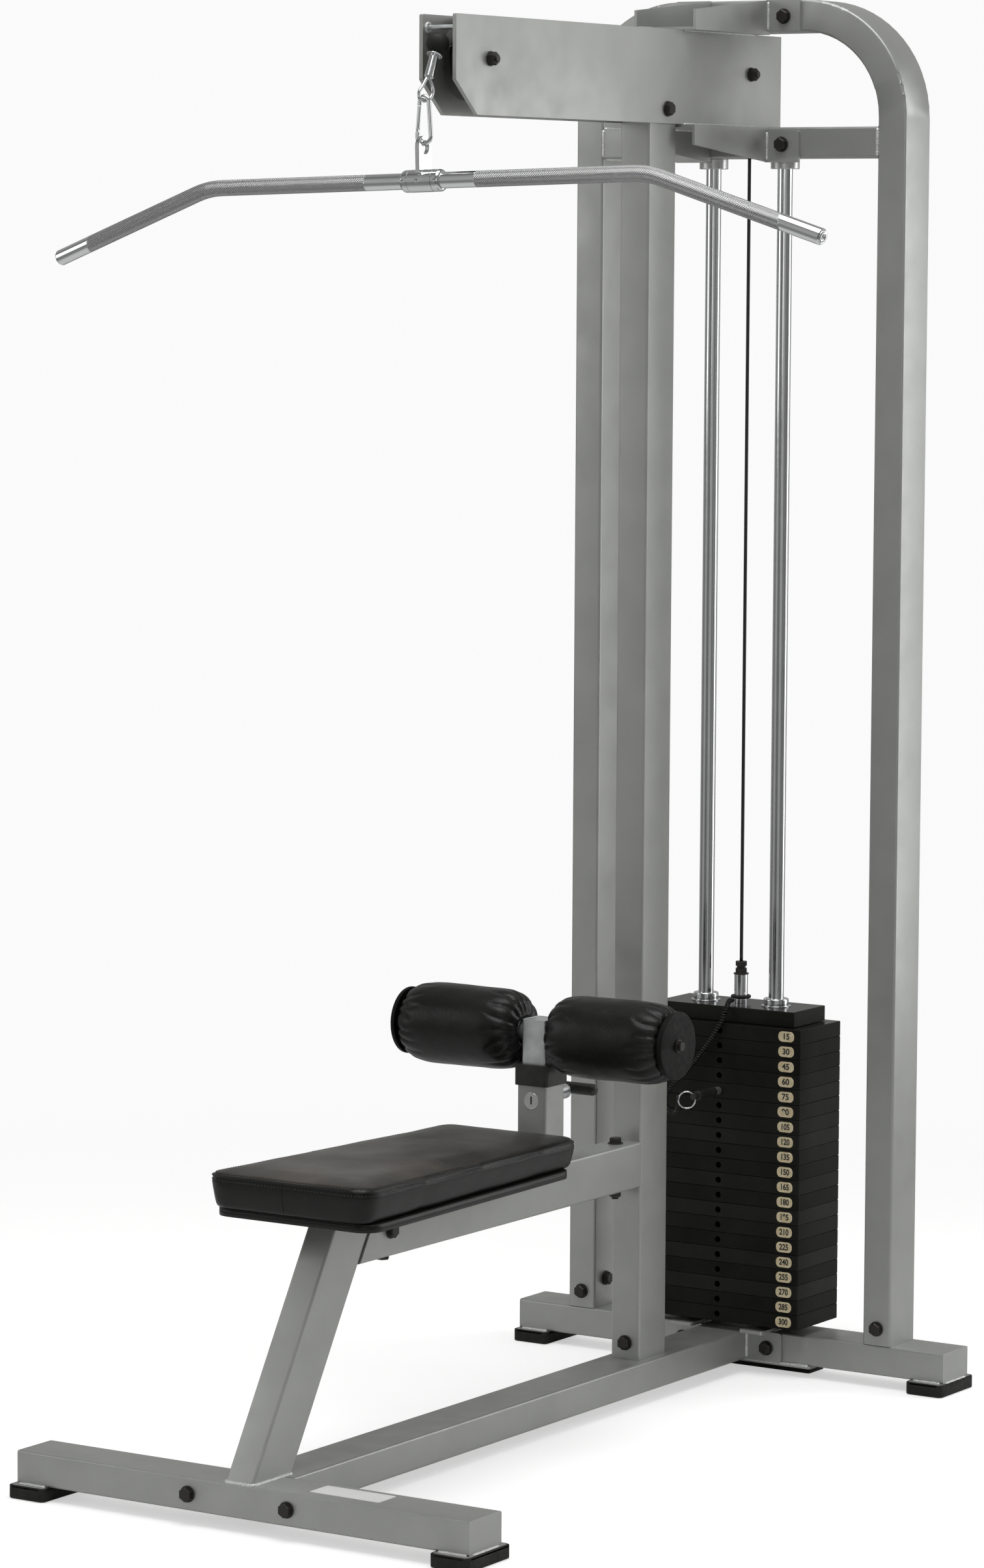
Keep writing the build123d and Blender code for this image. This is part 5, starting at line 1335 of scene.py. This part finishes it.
def make_foot_lips():
    lips = []
    for x0, x1, y0, y1 in FOOT_LIPS:
        cx, cy = (x0 + x1) / 2, (y0 + y1) / 2
        outer = rounded_rect((x1 - x0) / 2, (y1 - y0) / 2, 9, 6)
        inner = rounded_rect((x1 - x0) / 2 - 1.2, (y1 - y0) / 2 - 1.2, 8, 6)
        # outline, its scale, height mm
        levels = ((outer, 1, 17.5), (outer, 1, 19.6), (inner, 1, 20.8), (inner, 0.93, 20.95))
        vertices = [Vector((cx + x * scale, cy + y * scale, z)) * MM
                    for outline, scale, z in levels for x, y in outline]
        lips.append((vertices, capped_top_first(len(levels), len(outer))))
    boots = new_object("foot_boot_lips", merge(lips), "rubber", smooth=False)
    fix_normals(boots)
    register(boots, "frame")


# End cap of the bar: distance out from the bar's end, radius
BAR_CAP = [
    (-0.0004, 0.0), (-0.0004, 0.0108), (0.0012, 0.0108), (0.0020, 0.0098),
    (0.0022, 0.0034), (0.0008, 0.0030), (0.0006, 0.0),
]


def bar_point(x, z):
    """A place given along and above the tilted bar."""
    along = Vector((cos(BAR_TILT), 0, sin(BAR_TILT)))
    above = Vector((-sin(BAR_TILT), 0, cos(BAR_TILT)))
    return Vector((0, BAR_Y, BAR_Z)) + along * x + above * z


def make_bar_caps():
    caps = []
    for s in (-1, 1):
        end = bar_point(s * BAR_REACH + BAR_SHIFT, -BAR_DROP)
        bend = bar_point(s * BAR_BEND + BAR_SHIFT, 0)
        caps.append(lathe(BAR_CAP, end, (end - bend).normalized(), 32, closed_profile=False))
    bar_caps = new_object("bar_end_caps", merge(caps), "chrome")
    fix_normals(bar_caps)
    register(bar_caps, "pull_bar")


def smooth_cad_pieces():
    """Smooth shading with split sharp edges on the CAD pieces still shown."""
    for piece in CAD_NODES.values():
        if piece.hide_render:
            continue
        for polygon in piece.data.polygons:
            polygon.use_smooth = True
        weld = piece.modifiers.new("weld", "WELD")
        weld.merge_threshold = 0.00002
        split = piece.modifiers.new("split", "EDGE_SPLIT")
        split.split_angle = radians(32)


make_welds()
make_foot_lips()
make_bar_caps()
smooth_cad_pieces()


# ------------------------------------------------------------------ stage
def floor_material():
    """Pale floor, lit a little for the camera, that fades out with distance."""
    m = Material("floor_pale")
    to_camera = m.node("ShaderNodeLightPath").outputs["Is Camera Ray"]
    m.surface(Base_Color=m.mix(m.noise(scale=3, detail=3), grey(0.86), grey(0.90)),
              Roughness=0.75, Specular_IOR_Level=0.2, Emission_Color=(1, 1, 1),
              Emission_Strength=m.math("MULTIPLY", to_camera, 0.50))
    distance = m.node("ShaderNodeVectorMath", operation="LENGTH")
    m.feed(distance.inputs[0], m.position)
    fade = m.remap(distance.outputs["Value"], span=(1.3, 3.6), smooth=True)
    clear = m.node("ShaderNodeBsdfTransparent").outputs[0]
    m.feed(m.output.inputs[0], m.mix_shaders(fade, m.shader.outputs[0], clear))
    return m.data


def make_floor():
    half, z = 14, -0.0005
    corners = [(-half, -half, z), (half, -half, z), (half, half, z), (-half, half, z)]
    floor = new_object("floor", (corners, [(0, 1, 2, 3)]), None, smooth=False)
    floor.data.materials.append(floor_material())


def make_world():
    """Bright backdrop behind the machine, dim banded room in front, soft ceiling."""
    world = bpy.data.worlds.new("studio")
    scene.world = world
    world.use_nodes = True
    g = Graph(world.node_tree)
    x, y, z = g.axes(g.node("ShaderNodeTexCoord").outputs["Generated"])
    behind = g.remap(y, span=(-0.55, 0.35), to=(0.31, 0.41), smooth=True)
    wave = g.math("SINE", g.math("MULTIPLY", g.math("ARCTAN2", y, x), 5.0))
    bands_level = g.remap(wave, span=(-0.6, 0.6), to=(0.55, 1.25), smooth=True)
    front_only = g.remap(y, span=(-0.5, 0.1), to=(1, 0), smooth=True)
    banded = g.math("MULTIPLY", front_only, g.math("SUBTRACT", bands_level, 1.0))
    banded = g.math("ADD", banded, 1.0)
    upper = g.remap(z, span=(0.25, 0.85), to=(1.0, 0.75), smooth=True)
    lower = g.remap(z, span=(-0.25, -0.02), to=(0.6, 1.0), smooth=True)
    level = g.math("MULTIPLY", behind, banded)
    level = g.math("MULTIPLY", level, upper)
    level = g.math("MULTIPLY", level, lower)
    colour = g.node("ShaderNodeCombineColor")
    tint = (1.0, 1.0, 0.985)
    for socket, share in zip(colour.inputs, tint):
        g.feed(socket, g.math("MULTIPLY", level, share))

    def background(light, strength):
        node = g.node("ShaderNodeBackground")
        g.feed(node.inputs["Color"], light)
        node.inputs["Strength"].default_value = strength
        return node.outputs[0]

    room = background(colour.outputs[0], strength=0.9)
    seen = background(grey(0.96), strength=1.0)
    to_camera = g.node("ShaderNodeLightPath").outputs["Is Camera Ray"]
    output = g.node("ShaderNodeOutputWorld")
    g.feed(output.inputs[0], g.mix_shaders(to_camera, room, seen))


def area_light(name, place, target, size, power, size_y=None):
    light = bpy.data.lights.new(name, "AREA")
    light.energy = power
    light.size = size
    if size_y:
        light.shape = "RECTANGLE"
        light.size_y = size_y
    lamp = bpy.data.objects.new(name, light)
    scene.collection.objects.link(lamp)
    lamp.location = place
    aim = Vector(target) - Vector(place)
    lamp.rotation_euler = aim.to_track_quat("-Z", "Y").to_euler()
    return lamp


def make_lights():
    area_light("key_overhead", place=(0.5, -0.9, 5.3), target=(0, 0, 0.8), size=3.4, power=118)
    area_light("fill_camera", place=(2.2, -5.6, 2.6), target=(0, 0, 1.1), size=2.2, power=10)
    area_light("side_left", place=(-4.0, -3.2, 2.6), target=(0, 0, 1.2), size=2.4, power=22)
    area_light("back_right", place=(3.8, 3.2, 3.0), target=(0, 0.3, 1.2), size=2.0, power=22)
    hoop_side = area_light("hoop_side", place=(1.25, 1.7, 1.3), target=(0.32, 0.7, 1.2),
                           size=0.6, power=7, size_y=1.8)
    hoop_side.visible_camera = False


def make_camera():
    """Long lens from the front right, a little above the middle of the machine."""
    azimuth, elevation, roll = radians(32.917), radians(5.690), radians(0.322)
    back = Vector((sin(azimuth) * cos(elevation), -cos(azimuth) * cos(elevation),
                   sin(elevation)))
    right = Vector((cos(azimuth), sin(azimuth), 0))
    up = back.cross(right)
    rolled_right = right * cos(roll) + up * sin(roll)
    rolled_up = up * cos(roll) - right * sin(roll)
    lens = bpy.data.cameras.new("camera")
    lens.sensor_fit = "AUTO"
    lens.sensor_width = 36
    lens.lens = 122.33
    lens.clip_end = 60
    camera = bpy.data.objects.new("camera", lens)
    scene.collection.objects.link(camera)
    pose = Matrix((rolled_right, rolled_up, back)).transposed().to_4x4()
    pose.translation = Vector((4.4929, -7.0167, 1.8770))
    camera.matrix_world = pose
    scene.camera = camera


make_floor()
make_world()
make_lights()
make_camera()
scene.view_settings.view_transform = "Standard"
scene.view_settings.look = "None"
